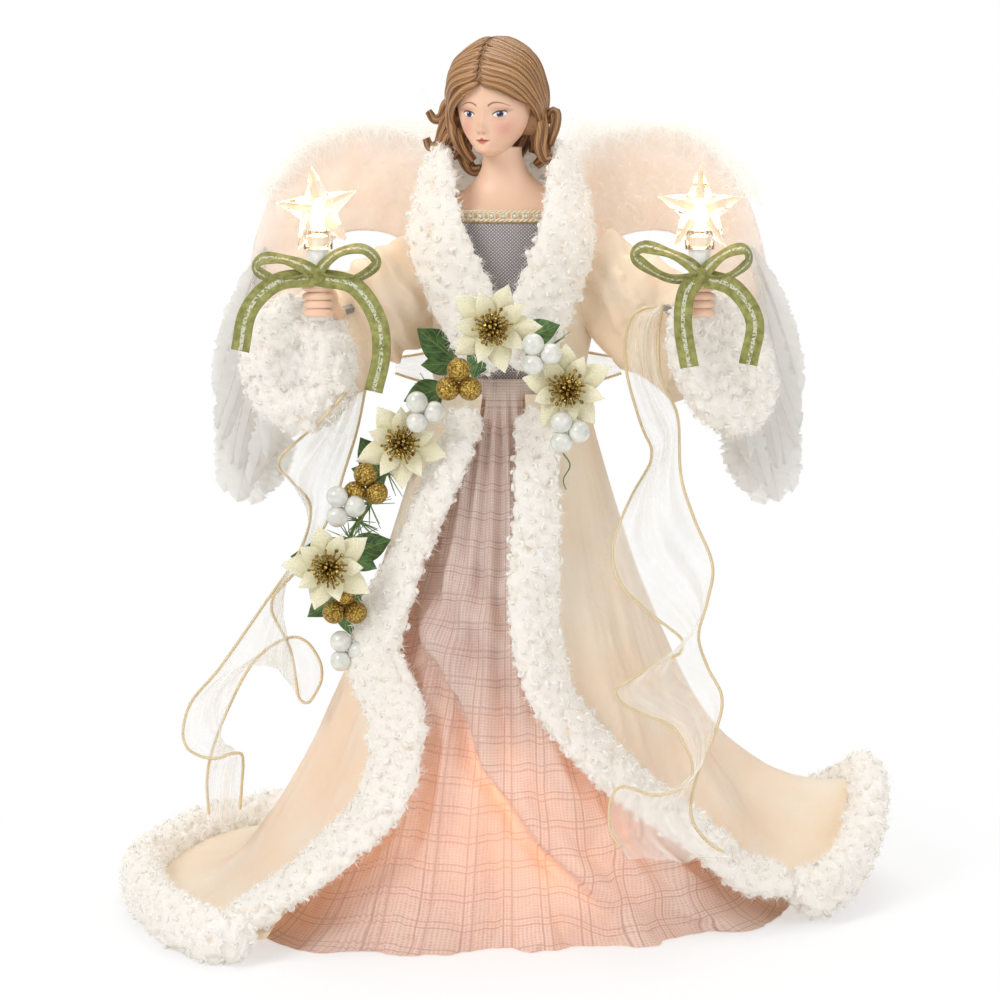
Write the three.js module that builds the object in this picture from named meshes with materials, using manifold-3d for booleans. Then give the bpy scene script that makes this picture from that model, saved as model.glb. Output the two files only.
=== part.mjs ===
// Lighted angel tree topper: a hollow tree cone dressed in a gown and a fleece coat with curly pile trim,
// a cast head and shoulders, two cast hands that hold star lamps, feathered wings, a flower garland and
// a sheer scarf. Millimetres, +Z up, the face looks along -Y, the angel stands on Z = 0.
import * as THREE from "three";
import { mergeVertices } from "three/addons/utils/BufferGeometryUtils.js";
import Module from "manifold-3d";

const wasm = await Module();
wasm.setup();

// Fits shared by every piece
const fit = {
  seam: 0.35, // gap left where one piece is cut to lie on another
  hang: 0.3, // running gap of nested shells
  drape: 0.6, // gap left where loose cloth or a trim is cut to lie on another piece
  cloth: 3, // room between the gown and the coat over it
  weld: 0.0005, // vertices closer than this are one vertex
  overrun: 1, // how far a cutter runs past what it cuts
};

// Driving sizes
const stand = {
  halfWidth: 164, // plan reach of the coat cloth, to the side
  waistZ: 242, // top edge of the skirts
  shoulderZ: 318,
  headZ: 373, // middle of the head
};
const cone = { baseR: 64, topR: 21, height: 232, wall: 2, rimR: 69, rimHeight: 3, sides: 20 };
const torso = { waistR: 29.6, chestWide: 35, chestDeep: 23.5, topZ: 300 };
const chest = { wide: 36, deep: 22.5, edge: 3, slopeZ: 327, neckR: 9.6, neckTopZ: 352 };
const head = {
  halfWide: 18,
  front: 20.5,
  back: 22.5,
  halfHigh: 26,
  x: -4,
  y: -8,
  turnDeg: -14, // towards the viewer's left
  nodDeg: 7,
};
const hair = { clear: 2.5, thick: 4.5, wave: 0.9 };
const bodice = { thick: 1.4, bottomZ: 256, topZ: 319 };
const braid = { halfHigh: 3.4, halfDeep: 1.5 };
const gown = { waistR: 31.5, thick: 1.3, hemZ: 0, reach: 138 };
const coat = { waistR: 35.2, thick: 2.2, hemZ: 10, archZ: 40 };
const coatTop = { thick: 2.2, topZ: 322 };
const collar = { halfWide: 14.6, halfThick: 5.4, shift: -3.5 };
const frontTrim = { halfWide: 12.5, halfThick: 5.8 };
const hemTrim = { halfHigh: 12, halfThick: 9.5, cutFlat: 0.5 };
const arm = {
  wireR: 2.2,
  shoulderX: 36,
  elbowX: 60,
  elbowY: -13,
  elbowZ: 284,
  wristX: 81,
  wristY: -40,
  wristZ: 279,
};
const hand = { x: 85.5, y: -47, z: 286, wide: 6.8, deep: 6.2, high: 7, fingerR: 1.8 };
const lamp = {
  holderR: 5,
  holderBottomZ: 277,
  holderTopZ: 314,
  boreR: 4,
  boreDepth: 11,
  baseR: 3.6,
  bulbR: 2.8,
  bulbTopZ: 331,
};
const star = {
  pointR: 20,
  notchShare: 0.44,
  halfThick: 7,
  rimHalf: 1.2,
  centreZ: 326,
  collarR: 6.6,
  collarBottomZ: 308.5,
  seatClear: 0.35,
  bulbClear: 1.2,
};
const sleeve = { startHigh: 24, endHigh: 27, startDeep: 14, endDeep: 19, dropZ: 20 };
const cuff = {
  halfHigh: 20,
  halfWide: 15,
  halfThick: 11.5,
  lip: 12,
  leftX: -95.5,
  leftY: -36,
  rightX: 97,
  rightY: -33,
  z: 256,
};
const ribbon = { wide: 7, thick: 1.2, knotR: 4, loopReach: 24, tailDrop: 34 };
const wing = {
  rootX: 14,
  spanX: 128,
  topZ: 362,
  tipZ: 215,
  backY: 34,
  sweep: 14, // how far the tip lies behind the root
  padThick: 4,
  featherHalfWide: 13.5,
  featherThick: 0.9,
  downHalfWide: 7.5,
  downHalfDeep: 4.5,
};
const bracket = { wide: 44, high: 30, thick: 2.2, centreZ: 304 };
const flower = { petalLong: 16, petalWide: 11, petalThick: 1.1, eyeR: 4, eyeDeep: 5, cup: 2.2, petals: 6 };
const goldBerry = { r: 5.3, spread: 5.6 };
const pearl = { r: 4.9, spread: 5.2 };
const vine = {
  r: 1.5,
  leafLong: 19,
  leafWide: 17,
  leafThick: 1.1,
  needleLong: 9,
  needleR: 0.7,
  curlR: 3,
  curlLong: 44,
  curlTurns: 3,
};
const scarf = { thick: 0.9, backHalfHigh: 12, backZ: 250, foldDeep: 7, folds: 1.5 };
const light = { holderR: 3.3, holderLong: 13, bulbR: 2.3, bulbLong: 7, leadR: 1.1, leadClear: 1.3 };

const V = (x, y, z) => new THREE.Vector3(x, y, z);
const rad = THREE.MathUtils.degToRad;
const { lerp, clamp, smoothstep } = THREE.MathUtils;
const TURN = 2 * Math.PI;
const fullDeg = 360;

// Turns a closed mesh so that its faces point outwards.
function facingOut(geometry) {
  const p = geometry.getAttribute("position");
  const index = geometry.index.array;
  const [a, b, c] = [V(0, 0, 0), V(0, 0, 0), V(0, 0, 0)];
  let volume = 0;
  for (let i = 0; i < index.length; i += 3) {
    a.fromBufferAttribute(p, index[i]);
    b.fromBufferAttribute(p, index[i + 1]);
    c.fromBufferAttribute(p, index[i + 2]);
    volume += a.dot(b.cross(c));
  }
  if (volume < 0) {
    for (let i = 0; i < index.length; i += 3) {
      [index[i + 1], index[i + 2]] = [index[i + 2], index[i + 1]];
    }
  }
  return geometry;
}

// Joins rings of equally many points into a closed skin. Ends close as fans, or as a strip for flat rings,
// whose two walls are split along the same diagonals, so that they stay one thickness apart.
function loft(rings, { cyclic = false, strip = false } = {}) {
  const n = rings[0].length;
  const rows = rings.length;
  const points = rings.flat();
  const index = [];
  for (let i = 0; i < (cyclic ? rows : rows - 1); i++) {
    for (let j = 0; j < n; j++) {
      const a = i * n + j;
      const b = i * n + ((j + 1) % n);
      const c = ((i + 1) % rows) * n + j;
      const d = ((i + 1) % rows) * n + ((j + 1) % n);
      if (strip && j >= n / 2) index.push(a, c, d, a, d, b);
      else index.push(a, c, b, b, c, d);
    }
  }
  for (const [row, first] of cyclic ? [] : [[0, true], [rows - 1, false]]) {
    const at = (j) => row * n + (j % n);
    const face = (a, b, c) => (first ? index.push(a, b, c) : index.push(a, c, b));
    if (strip) {
      for (let j = 0; j < n / 2 - 1; j++) {
        face(at(j), at(j + 1), at(n - 2 - j));
        face(at(j), at(n - 2 - j), at(n - 1 - j));
      }
    } else {
      const middle = V(0, 0, 0);
      rings[row].forEach((p) => middle.add(p));
      points.push(middle.divideScalar(n));
      for (let j = 0; j < n; j++) face(points.length - 1, at(j), at(j + 1));
    }
  }
  const geometry = new THREE.BufferGeometry().setFromPoints(points);
  geometry.setIndex(index);
  return facingOut(geometry);
}

// The direction that a surface(u, v) faces.
function facing(surface, u, v, side) {
  const step = 1e-4;
  const du = surface(u + step, v).sub(surface(u - step, v));
  const dv = surface(u, Math.min(1, v + step)).sub(surface(u, Math.max(0, v - step)));
  return du.cross(dv).normalize().multiplyScalar(side);
}

// A skin of one thickness behind a surface(u, v), both from 0 to 1. `way` sets one direction for the thickness.
function skin(surface, nu, nv, thick, { cyclic = false, floorZ = -Infinity, side = 1, way } = {}) {
  const rings = [];
  for (let i = 0; i < (cyclic ? nu : nu + 1); i++) {
    const u = i / nu;
    const outer = [];
    const inner = [];
    for (let j = 0; j <= nv; j++) {
      const p = surface(u, j / nv);
      const q = p.clone().addScaledVector(way ?? facing(surface, u, j / nv, side), -thick);
      q.z = Math.max(q.z, floorZ);
      outer.push(p);
      inner.unshift(q);
    }
    rings.push([...outer, ...inner]);
  }
  return loft(rings, { cyclic, strip: true });
}

// Points of an oval round centre, wide along `across` and thick along `out`.
function oval(centre, across, out, halfWide, halfThick, sides) {
  return Array.from({ length: sides }, (_, k) =>
    centre
      .clone()
      .addScaledVector(across, halfWide * Math.cos((TURN * (k + 0.5)) / sides))
      .addScaledVector(out, halfThick * Math.sin((TURN * (k + 0.5)) / sides)),
  );
}

// A band with an oval section swept along points. outward(p, t) says which way its flat side faces.
const band = (points, steps, sides, size, outward, cyclic = false) =>
  loft(bandRings(points, steps, sides, size, outward, cyclic), { cyclic });

function bandRings(points, steps, sides, size, outward, cyclic) {
  const curve = new THREE.CatmullRomCurve3(points, cyclic, "centripetal");
  const rings = [];
  for (let i = 0; i < (cyclic ? steps : steps + 1); i++) {
    const t = i / steps;
    const centre = curve.getPointAt(t);
    const along = curve.getTangentAt(t);
    const out = outward(centre, t);
    out.addScaledVector(along, -out.dot(along)).normalize();
    const across = along.clone().cross(out).normalize();
    const [halfWide, halfThick] = size(t);
    rings.push(oval(centre, across, out, halfWide, halfThick, sides));
  }
  return rings;
}

// A round wire. Its reference direction is skew to every run of this model's wires.
const skew = V(0.31, 0.17, 0.93).normalize();
const wire = (points, r, steps, sides) => band(points, steps, sides, () => [r, r], () => skew.clone());

function bareGeometry(geometry) {
  const bare = new THREE.BufferGeometry().setAttribute("position", geometry.getAttribute("position").clone());
  if (geometry.index) bare.setIndex(Array.from(geometry.index.array));
  return mergeVertices(bare, fit.weld);
}

function solidOf(geometry) {
  const merged = bareGeometry(geometry);
  return new wasm.Manifold(
    new wasm.Mesh({
      numProp: 3,
      vertProperties: merged.getAttribute("position").array,
      triVerts: new Uint32Array(merged.index.array),
    }),
  );
}

function geometryOf(solid) {
  const mesh = solid.getMesh();
  const positions = new Float32Array(mesh.numVert * 3);
  for (let i = 0; i < mesh.numVert; i++) {
    positions.set(mesh.vertProperties.subarray(i * mesh.numProp, i * mesh.numProp + 3), i * 3);
  }
  const geometry = new THREE.BufferGeometry();
  geometry.setAttribute("position", new THREE.BufferAttribute(positions, 3));
  geometry.setIndex(Array.from(mesh.triVerts));
  return geometry;
}

// The largest body of a solid: what a cut leaves as loose crumbs is dropped.
const largest = (solid) => solid.decompose().sort((a, b) => b.volume() - a.volume())[0];

// The same closed mesh with its faces moved outwards, mitred at the corners. A thin-edged mesh weighs the
// faces that meet in a corner by their angles there, any other by their areas.
function grow(geometry, by, thinEdged = false) {
  const merged = bareGeometry(geometry);
  const p = merged.getAttribute("position");
  const index = merged.index.array;
  const away = Array.from({ length: p.count }, () => V(0, 0, 0));
  const corner = (i) => V(0, 0, 0).fromBufferAttribute(p, i);
  for (let i = 0; i < index.length; i += 3) {
    const own = [0, 1, 2].map((k) => index[i + k]);
    const [a, b, c] = own.map(corner);
    const face = b.clone().sub(a).cross(c.clone().sub(a));
    if (thinEdged) face.normalize();
    own.forEach((k, at) => {
      const [here, next, last] = [[a, b, c], [b, c, a], [c, a, b]][at];
      const angle = next.clone().sub(here).angleTo(last.clone().sub(here));
      away[k].addScaledVector(face, thinEdged ? angle : 1);
    });
  }
  away.forEach((n) => n.normalize());
  const mitre = new Float32Array(p.count).fill(1);
  const sharpest = 0.5;
  for (let i = 0; i < index.length; i += 3) {
    const own = [0, 1, 2].map((k) => index[i + k]);
    const [a, b, c] = own.map(corner);
    const face = b.sub(a).cross(c.sub(a)).normalize();
    for (const k of own) {
      const spread = face.dot(away[k]);
      mitre[k] = Math.min(mitre[k], Math.max(sharpest, spread));
    }
  }
  for (let i = 0; i < p.count; i++) {
    const out = by / mitre[i];
    p.setXYZ(i, p.getX(i) + out * away[i].x, p.getY(i) + out * away[i].y, p.getZ(i) + out * away[i].z);
  }
  return merged;
}

const join = (...geometries) => geometryOf(largest(geometries.map(solidOf).reduce((a, b) => a.add(b))));
const cutAway = (geometry, cutter) => geometryOf(largest(solidOf(geometry).subtract(solidOf(cutter))));

// Cuts a soft or seated piece so that it lies on its neighbours with a gap
const seatWith = (gap, thinEdged) => (geometry, ...neighbours) => {
  const box = new THREE.Box3().setFromBufferAttribute(geometry.getAttribute("position")).expandByScalar(fit.overrun);
  const close = neighbours.filter((n) => {
    n.computeBoundingBox();
    return n.boundingBox.intersectsBox(box);
  });
  if (!close.length) return geometry;
  return geometryOf(largest(close.reduce((s, n) => s.subtract(solidOf(grow(n, gap, thinEdged))), solidOf(geometry))));
};
const seat = seatWith(fit.seam, false);
const hangOn = seatWith(fit.drape, true);

// The corners of a mesh and the middles of its triangles and their sides.
function probes(geometry) {
  const p = geometry.getAttribute("position");
  const index = geometry.index.array;
  const corner = (i) => V(0, 0, 0).fromBufferAttribute(p, i);
  const points = Array.from({ length: p.count }, (_, i) => corner(i));
  for (let i = 0; i < index.length; i += 3) {
    const [a, b, c] = [corner(index[i]), corner(index[i + 1]), corner(index[i + 2])];
    points.push(a.clone().lerp(b, 0.5), a.add(b).add(c).divideScalar(3));
  }
  return points;
}

// How far the piece can travel along `way` before it meets what lies there.
function travel(piece, way, behind) {
  const ray = new THREE.Raycaster();
  const pick = new THREE.MeshBasicMaterial({ side: THREE.DoubleSide });
  const back = way.clone().negate();
  const reach = new THREE.Box3().setFromBufferAttribute(piece.getAttribute("position"));
  const ownMesh = new THREE.Mesh(piece, pick);
  let least = Infinity;
  const probe = (origin, direction, target) => {
    ray.set(origin, direction);
    const hit = ray.intersectObject(target)[0];
    if (hit) least = Math.min(least, hit.distance);
  };
  const own = probes(piece);
  for (const other of behind) {
    const otherMesh = new THREE.Mesh(other, pick);
    own.forEach((p) => probe(p, way, otherMesh));
    for (const p of probes(other)) {
      const faced = p.x > reach.min.x && p.x < reach.max.x && p.z > reach.min.z && p.z < reach.max.z;
      if (faced) probe(p, back, ownMesh);
    }
  }
  return least;
}

// Brings a piece up from the front until it rests on what lies behind it.
function rest(piece, behind) {
  const start = stand.halfWidth * 2;
  piece.translate(0, -start, 0);
  const way = V(0, 1, 0);
  return piece.translate(0, travel(piece, way, behind) - fit.seam * 1.5, 0);
}

const lathe = (profile, sides) =>
  facingOut(
    bareGeometry(
      new THREE.LatheGeometry(profile.map(([r, z]) => new THREE.Vector2(r, z)), sides).rotateX(Math.PI / 2),
    ),
  );
const rod = (r, bottomZ, topZ, sides) => lathe([[0, bottomZ], [r, bottomZ], [r, topZ], [0, topZ]], sides);
const ball = (r, across = 8, high = 5) => bareGeometry(new THREE.SphereGeometry(r, across, high));

// Rows of [degrees, value, ...], read smoothly at any heading.
function round(table, heading, column) {
  const at = ((heading % fullDeg) + fullDeg) % fullDeg;
  const n = table.length;
  const row = (k) => table[(k + n) % n];
  const i = table.findLastIndex((r) => at >= r[0]);
  const from = table[i][0];
  const to = i === n - 1 ? row(0)[0] + fullDeg : row(i + 1)[0];
  const t = (at - from) / (to - from);
  const [p0, p1, p2, p3] = [row(i - 1), row(i), row(i + 1), row(i + 2)].map((r) => r[column]);
  const m1 = (p2 - p0) / 2;
  const m2 = (p3 - p1) / 2;
  const t2 = t * t;
  const t3 = t2 * t;
  return (2 * t3 - 3 * t2 + 1) * p1 + (t3 - 2 * t2 + t) * m1 + (3 * t2 - 2 * t3) * p2 + (t3 - t2) * m2;
}

// Rows of [share, value], read smoothly.
function ramp(table, t) {
  const i = Math.max(1, table.findIndex((row) => row[0] >= t));
  const [from, to] = [table[i - 1], table[i]];
  return lerp(from[1], to[1], smoothstep(t, from[0], to[0]));
}

// Heading: degrees from straight ahead (-Y), positive towards +X.
const ahead = (heading, r, z) => V(r * Math.sin(rad(heading)), -r * Math.cos(rad(heading)), z);

// [heading, reach share of the half width, arch share, flare exponent] of the coat's edge
const coatHemShares = [
  [0, 0.66, 0, 1.5],
  [30, 0.68, 0, 1.5],
  [52, 0.76, 0.02, 1.6],
  [68, 0.85, 0.1, 1.8],
  [82, 0.94, 0.36, 2.2],
  [96, 1, 1, 2.6],
  [110, 0.97, 0.55, 2.6],
  [128, 0.86, 0.05, 2.3],
  [150, 0.74, 0, 2],
  [180, 0.7, 0, 1.9],
  [208, 0.78, 0, 2],
  [230, 0.92, 0, 2.2],
  [250, 0.96, 0.06, 2.3],
  [268, 1, 0, 2.3],
  [290, 0.99, 0, 2.2],
  [306, 1, 0, 2],
  [318, 0.96, 0, 1.8],
  [335, 0.8, 0, 1.6],
];
// [heading, reach share, flare exponent] of the gown's edge
const gownHemShares = [
  [0, 0.7, 1.35],
  [25, 0.72, 1.35],
  [45, 0.8, 1.5],
  [62, 0.92, 1.7],
  [78, 0.98, 2],
  [95, 0.9, 2],
  [130, 0.76, 1.7],
  [180, 0.7, 1.5],
  [230, 0.76, 1.6],
  [280, 0.9, 1.8],
  [305, 0.98, 1.8],
  [320, 0.96, 1.6],
  [342, 0.76, 1.4],
];
// Headings of the coat's front edges, from the waist (0) to the hem (1)
const rightEdgeShares = [[0, 12], [0.1, 13], [0.26, 7], [0.36, 9], [0.82, 58], [1, 66]];
const leftEdgeShares = [[0, -20], [0.26, -48], [0.5, -29], [0.86, -45], [1, -43]];

// Soft folds: [heading at the waist, heading at the hem, half width in degrees, depth share of the reach]
const gownFoldShares = [
  [-6, 30, 11, 0.07],
  [-30, -16, 9, 0.05],
  [26, 58, 8, 0.04],
  [-44, -34, 7, -0.03],
  [150, 150, 14, 0.03],
  [210, 205, 14, 0.03],
];
const coatFoldShares = [
  [286, 296, 9, 0.055],
  [262, 268, 8, -0.04],
  [240, 240, 10, 0.045],
  [214, 212, 10, -0.04],
  [190, 190, 12, 0.045],
  [165, 160, 12, -0.03],
  [140, 135, 11, 0.045],
  [60, 84, 8, 0.04],
];

function folded(shares, heading, v) {
  return shares.reduce((sum, [top, hem, half, deep]) => {
    const off = ((((heading - lerp(top, hem, v)) % fullDeg) + 1.5 * fullDeg) % fullDeg) - fullDeg / 2;
    return sum + deep * Math.exp(-((off / half) ** 2));
  }, 0);
}

function coatAt(heading, v) {
  const reach = stand.halfWidth * round(coatHemShares, heading, 1);
  const edgeZ = coat.hemZ + coat.archZ * Math.max(0, round(coatHemShares, heading, 2));
  const flare = round(coatHemShares, heading, 3);
  const ripple = stand.halfWidth * folded(coatFoldShares, heading, v) * v * (1 - v) * 2.4;
  return ahead(heading, lerp(coat.waistR, reach, v) + ripple, edgeZ + (stand.waistZ - edgeZ) * (1 - v) ** flare);
}
const coatSpan = (v) => [ramp(rightEdgeShares, v), fullDeg + ramp(leftEdgeShares, v)];
const coatFace = (heading, v) => facing((u, w) => coatAt(fullDeg * u, w), heading / fullDeg, v, -1);

function coatPoint(u, v) {
  const [from, to] = coatSpan(v);
  return coatAt(lerp(from, to, u), v);
}

// Radius and height of the room under the coat along one heading, from the hem up
function roomUnderCoat(heading) {
  const depth = coat.thick + fit.cloth;
  const stations = 30;
  return Array.from({ length: stations + 1 }, (_, k) => {
    const v = 1 - k / stations;
    const p = coatAt(heading, v).addScaledVector(coatFace(heading, v), -depth);
    return [Math.hypot(p.x, p.y), p.z];
  });
}

function gownPoint(u, v) {
  const heading = fullDeg * u;
  const reach = gown.reach * round(gownHemShares, heading, 1);
  const flare = round(gownHemShares, heading, 2);
  const ripple = gown.reach * folded(gownFoldShares, heading, v) * v ** 0.6 * (1 - 0.5 * v);
  const z = gown.hemZ + (stand.waistZ - gown.hemZ) * (1 - v) ** flare;
  let r = lerp(gown.waistR, reach, v) + ripple;
  const [from, to] = coatSpan(v);
  const past = Math.min(heading - from, to - heading);
  const covered = smoothstep(past, -6, 2);
  if (covered > 0 && v > 0) {
    const room = roomUnderCoat(heading);
    const k = room.findIndex((at) => at[1] > z);
    if (k > 0) {
      const [low, high] = [room[k - 1], room[k]];
      const under = lerp(low[0], high[0], (z - low[1]) / (high[1] - low[1]));
      r = lerp(r, Math.min(r, under), covered);
    }
  }
  return ahead(heading, Math.max(r, gown.waistR), z);
}

const outwardFrom = (lift) => (p) => V(p.x, p.y, 0).normalize().add(V(0, 0, lift));

// An upright body from oval sections: [height, half width, half depth]
const sections = (rows, sides) =>
  loft(rows.map(([z, wide, deep]) => oval(V(0, 0, z), V(1, 0, 0), V(0, 1, 0), wide, deep, sides)));

const meshes = [];
const part = (name, colour, geometry, roughness = 0.8, metalness = 0) => {
  const mesh = new THREE.Mesh(geometry, new THREE.MeshStandardMaterial({ color: colour, roughness, metalness }));
  mesh.name = name;
  meshes.push(mesh);
  return geometry;
};

// Tree cone: thin wall, a rim to stand on, closed top
const coneBody = part(
  "tree_cone",
  0xe9e2d6,
  lathe(
    [
      [cone.baseR - cone.wall, 0],
      [cone.rimR, 0],
      [cone.rimR, cone.rimHeight],
      [cone.baseR, cone.rimHeight],
      [cone.topR, cone.height],
      [0, cone.height],
      [0, cone.height - cone.wall],
      [cone.topR - cone.wall, cone.height - cone.wall],
      [cone.baseR - cone.wall, 0],
    ],
    cone.sides,
  ),
);
const coneRAt = (z) => lerp(cone.baseR, cone.topR, (z - cone.rimHeight) / (cone.height - cone.rimHeight));

// One wire runs from hand to hand over the torso block
const wireZ = torso.topZ - arm.wireR;
const armPath = (side) => [
  V(side * arm.shoulderX * 0.1, 0, wireZ),
  V(side * arm.shoulderX * 0.9, 0, wireZ),
  V(side * arm.shoulderX * 1.2, arm.elbowY * 0.15, wireZ - arm.wireR),
  V(side * arm.elbowX, arm.elbowY, arm.elbowZ),
  V(side * arm.wristX, arm.wristY, arm.wristZ),
];
const armWire = part(
  "arm_wire",
  0x9a9a9a,
  wire([...armPath(-1).reverse(), ...armPath(1)], arm.wireR, 14, 6),
  0.5,
  0.8,
);

// Torso block between the cone and the cast shoulders
const torsoBottomZ = cone.height + fit.hang;
const torsoBlock = part(
  "torso_block",
  0xd9d2c4,
  seat(
    sections(
      [
        [torsoBottomZ, torso.waistR, torso.waistR],
        [stand.waistZ, torso.waistR, torso.waistR],
        [lerp(stand.waistZ, torso.topZ, 0.45), lerp(torso.waistR, torso.chestWide, 0.6), torso.chestDeep],
        [torso.topZ, torso.chestWide, torso.chestDeep],
      ],
      16,
    ),
    armWire,
  ),
);

// Head profile as shares: [height, half width, front, back]
const headShares = [
  [-1, 0.2, 0.62, 0.1],
  [-0.93, 0.42, 0.88, -0.18],
  [-0.8, 0.58, 0.98, -0.42],
  [-0.62, 0.72, 1.02, -0.66],
  [-0.42, 0.85, 1.02, -0.84],
  [-0.2, 0.94, 1, -0.95],
  [0, 1, 0.98, -1],
  [0.25, 1.03, 1, -1.04],
  [0.5, 0.99, 0.96, -1],
  [0.74, 0.82, 0.78, -0.84],
  [0.92, 0.5, 0.48, -0.52],
  [1, 0.14, 0.14, -0.14],
];
// Forms of the face: [across, height, half width, half height, forward], all shares of the head
const faceShares = [
  [0, -0.3, 0.13, 0.13, 0.2],
  [0, -0.12, 0.12, 0.12, 0.11],
  [0.4, 0, 0.2, 0.1, -0.07],
  [-0.4, 0, 0.2, 0.1, -0.07],
  [0, -0.53, 0.2, 0.05, 0.06],
  [0, -0.82, 0.22, 0.1, 0.06],
];
const headPlace = new THREE.Matrix4()
  .makeTranslation(head.x, head.y, stand.headZ)
  .multiply(new THREE.Matrix4().makeRotationZ(rad(head.turnDeg)))
  .multiply(new THREE.Matrix4().makeRotationX(rad(head.nodDeg)));

function headRing([high, wide, front, back], count) {
  return Array.from({ length: count }, (_, k) => {
    const turn = (TURN * k) / count;
    const angle = turn - 0.45 * Math.sin(turn); // closer together on the face
    const x = wide * Math.sin(angle);
    let forward = (front + back) / 2 + ((front - back) / 2) * Math.cos(angle);
    const toFace = Math.max(0, Math.cos(angle));
    for (const [ax, az, hx, hz, amount] of faceShares) {
      forward += toFace * amount * Math.exp(-(((x - ax) / hx) ** 2) - ((high - az) / hz) ** 2);
    }
    return V(x * head.halfWide, -forward * (forward > 0 ? head.front : head.back), high * head.halfHigh);
  });
}
const headRows = headShares.flatMap((row, i) => {
  const next = headShares[i + 1];
  const onFace = row[0] > -0.63 && row[0] < -0.1;
  return onFace ? [row, row.map((value, k) => (value + next[k]) / 2)] : [row];
});
const skull = loft(headRows.map((row) => headRing(row, 18)));
const neck = band(
  [
    V(head.x / 2, 0, stand.shoulderZ),
    V(head.x * 0.8, head.y * 0.25, lerp(stand.shoulderZ, chest.neckTopZ, 0.6)),
    V(head.x, head.y * 0.6, chest.neckTopZ),
  ],
  3,
  12,
  (t) => [chest.neckR * (1.35 - 0.35 * Math.min(1, 2 * t)), chest.neckR * (1.2 - 0.2 * t)],
  () => V(0, 1, 0),
);
const bustBottomZ = torso.topZ + fit.hang;
const shoulders = sections(
  [
    [bustBottomZ, chest.wide, chest.deep],
    [stand.shoulderZ - chest.edge, chest.wide, chest.deep],
    [stand.shoulderZ + chest.edge, chest.wide * 0.9, chest.deep * 0.92],
    [chest.slopeZ, chest.wide * 0.6, chest.deep * 0.78],
    [chest.slopeZ + 2 * chest.edge, chest.neckR * 1.1, chest.neckR * 1.15],
  ],
  16,
);
const bust = part(
  "bust",
  0xe8bfa0,
  join(join(shoulders, neck), skull.clone().applyMatrix4(headPlace)),
  0.5,
);

// Moulded hair: a shell from the back of the head to the hairline, with locks beside the neck.
// [degrees round the face from the viewer's right over the crown, degrees of hair from the back of the head]
const hairlineShares = [
  [0, 112],
  [45, 126],
  [75, 142],
  [105, 136],
  [135, 128],
  [180, 112],
  [225, 82],
  [270, 44],
  [315, 82],
];
const skullMesh = new THREE.Mesh(skull, new THREE.MeshBasicMaterial({ side: THREE.DoubleSide }));
function offSkull(turn, fromBack, out) {
  const away = Math.sin(rad(fromBack));
  const direction = V(away * Math.cos(rad(turn)), Math.cos(rad(fromBack)), away * Math.sin(rad(turn)));
  const hit = new THREE.Raycaster(V(0, 0, 0), direction).intersectObject(skullMesh).pop();
  return direction.multiplyScalar(hit.distance + out);
}
const hairRound = 16;
const hairRows = 5;
const hairRing = (share, out) =>
  Array.from({ length: hairRound }, (_, k) => {
    const turn = (fullDeg * (k + 0.5)) / hairRound;
    const fromBack = Math.max(2, share * round(hairlineShares, turn, 1));
    const wave = out > hair.clear ? hair.wave * Math.sin(rad(turn) * 7 + share * 5) * share : 0;
    return offSkull(turn, fromBack, out + wave);
  });
const hairRings = [];
for (let i = 0; i <= hairRows; i++) {
  const share = i / hairRows;
  hairRings.push(hairRing(share, hair.clear + hair.thick * (1 - 0.45 * share ** 3)));
}
for (let i = hairRows; i >= 0; i--) hairRings.push(hairRing(i / hairRows, hair.clear));
// Locks as shares of the head: route points and a thickness
const lockShares = [
  { at: [[-1.1, 0.25, -0.05], [-1.3, 0.1, -0.45], [-1.15, 0.15, -0.85], [-0.95, 0.45, -1.2]], r: 0.28 },
  { at: [[-1.1, 0.4, -0.1], [-1.6, 0.4, 0.0], [-2.0, 0.3, -0.1], [-2.1, 0.2, -0.3]], r: 0.21 },
  { at: [[-1.1, 0.5, -0.3], [-1.6, 0.4, -0.4], [-1.95, 0.3, -0.7], [-2.25, 0.2, -0.7]], r: 0.21 },
  { at: [[1.1, 0.3, -0.05], [1.22, 0.35, -0.45], [1.12, 0.4, -0.8], [0.95, 0.55, -1.0]], r: 0.27 },
  { at: [[1.1, 0.6, -0.4], [1.35, 0.5, -0.7], [1.5, 0.35, -0.45], [1.36, 0.25, -0.28]], r: 0.17 },
  { at: [[0, 1.05, -0.3], [0.15, 1.25, -0.7], [-0.15, 1.15, -1.05]], r: 0.5 },
];
const locks = lockShares.map(({ at, r }) =>
  band(
    at.map(([x, y, z]) => V(x * head.halfWide, y * head.back, z * head.halfHigh)),
    4,
    6,
    (t) => [r * head.halfWide * (1.1 - 0.6 * t), r * head.halfWide * (1 - 0.5 * t)],
    () => V(0.2, 1, 0.1),
  ),
);
const seatedLocks = locks.map((lock) => seat(lock.applyMatrix4(headPlace), bust));
const hairCast = part("hair", 0x8a6238, join(loft(hairRings).applyMatrix4(headPlace), ...seatedLocks), 0.55);

// Half width and depth of the dressed body at a height
function bodyRow(z) {
  const t = clamp((z - stand.waistZ) / (torso.topZ - stand.waistZ), 0, 1);
  const eased = Math.sin((t * Math.PI) / 2);
  return [lerp(torso.waistR, chest.wide, eased), lerp(torso.waistR, torso.chestDeep, eased)];
}
function wrapped(z, heading, out) {
  const [wide, deep] = bodyRow(z);
  return V((wide + out) * Math.sin(rad(heading)), -(deep + out) * Math.cos(rad(heading)), z);
}

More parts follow.
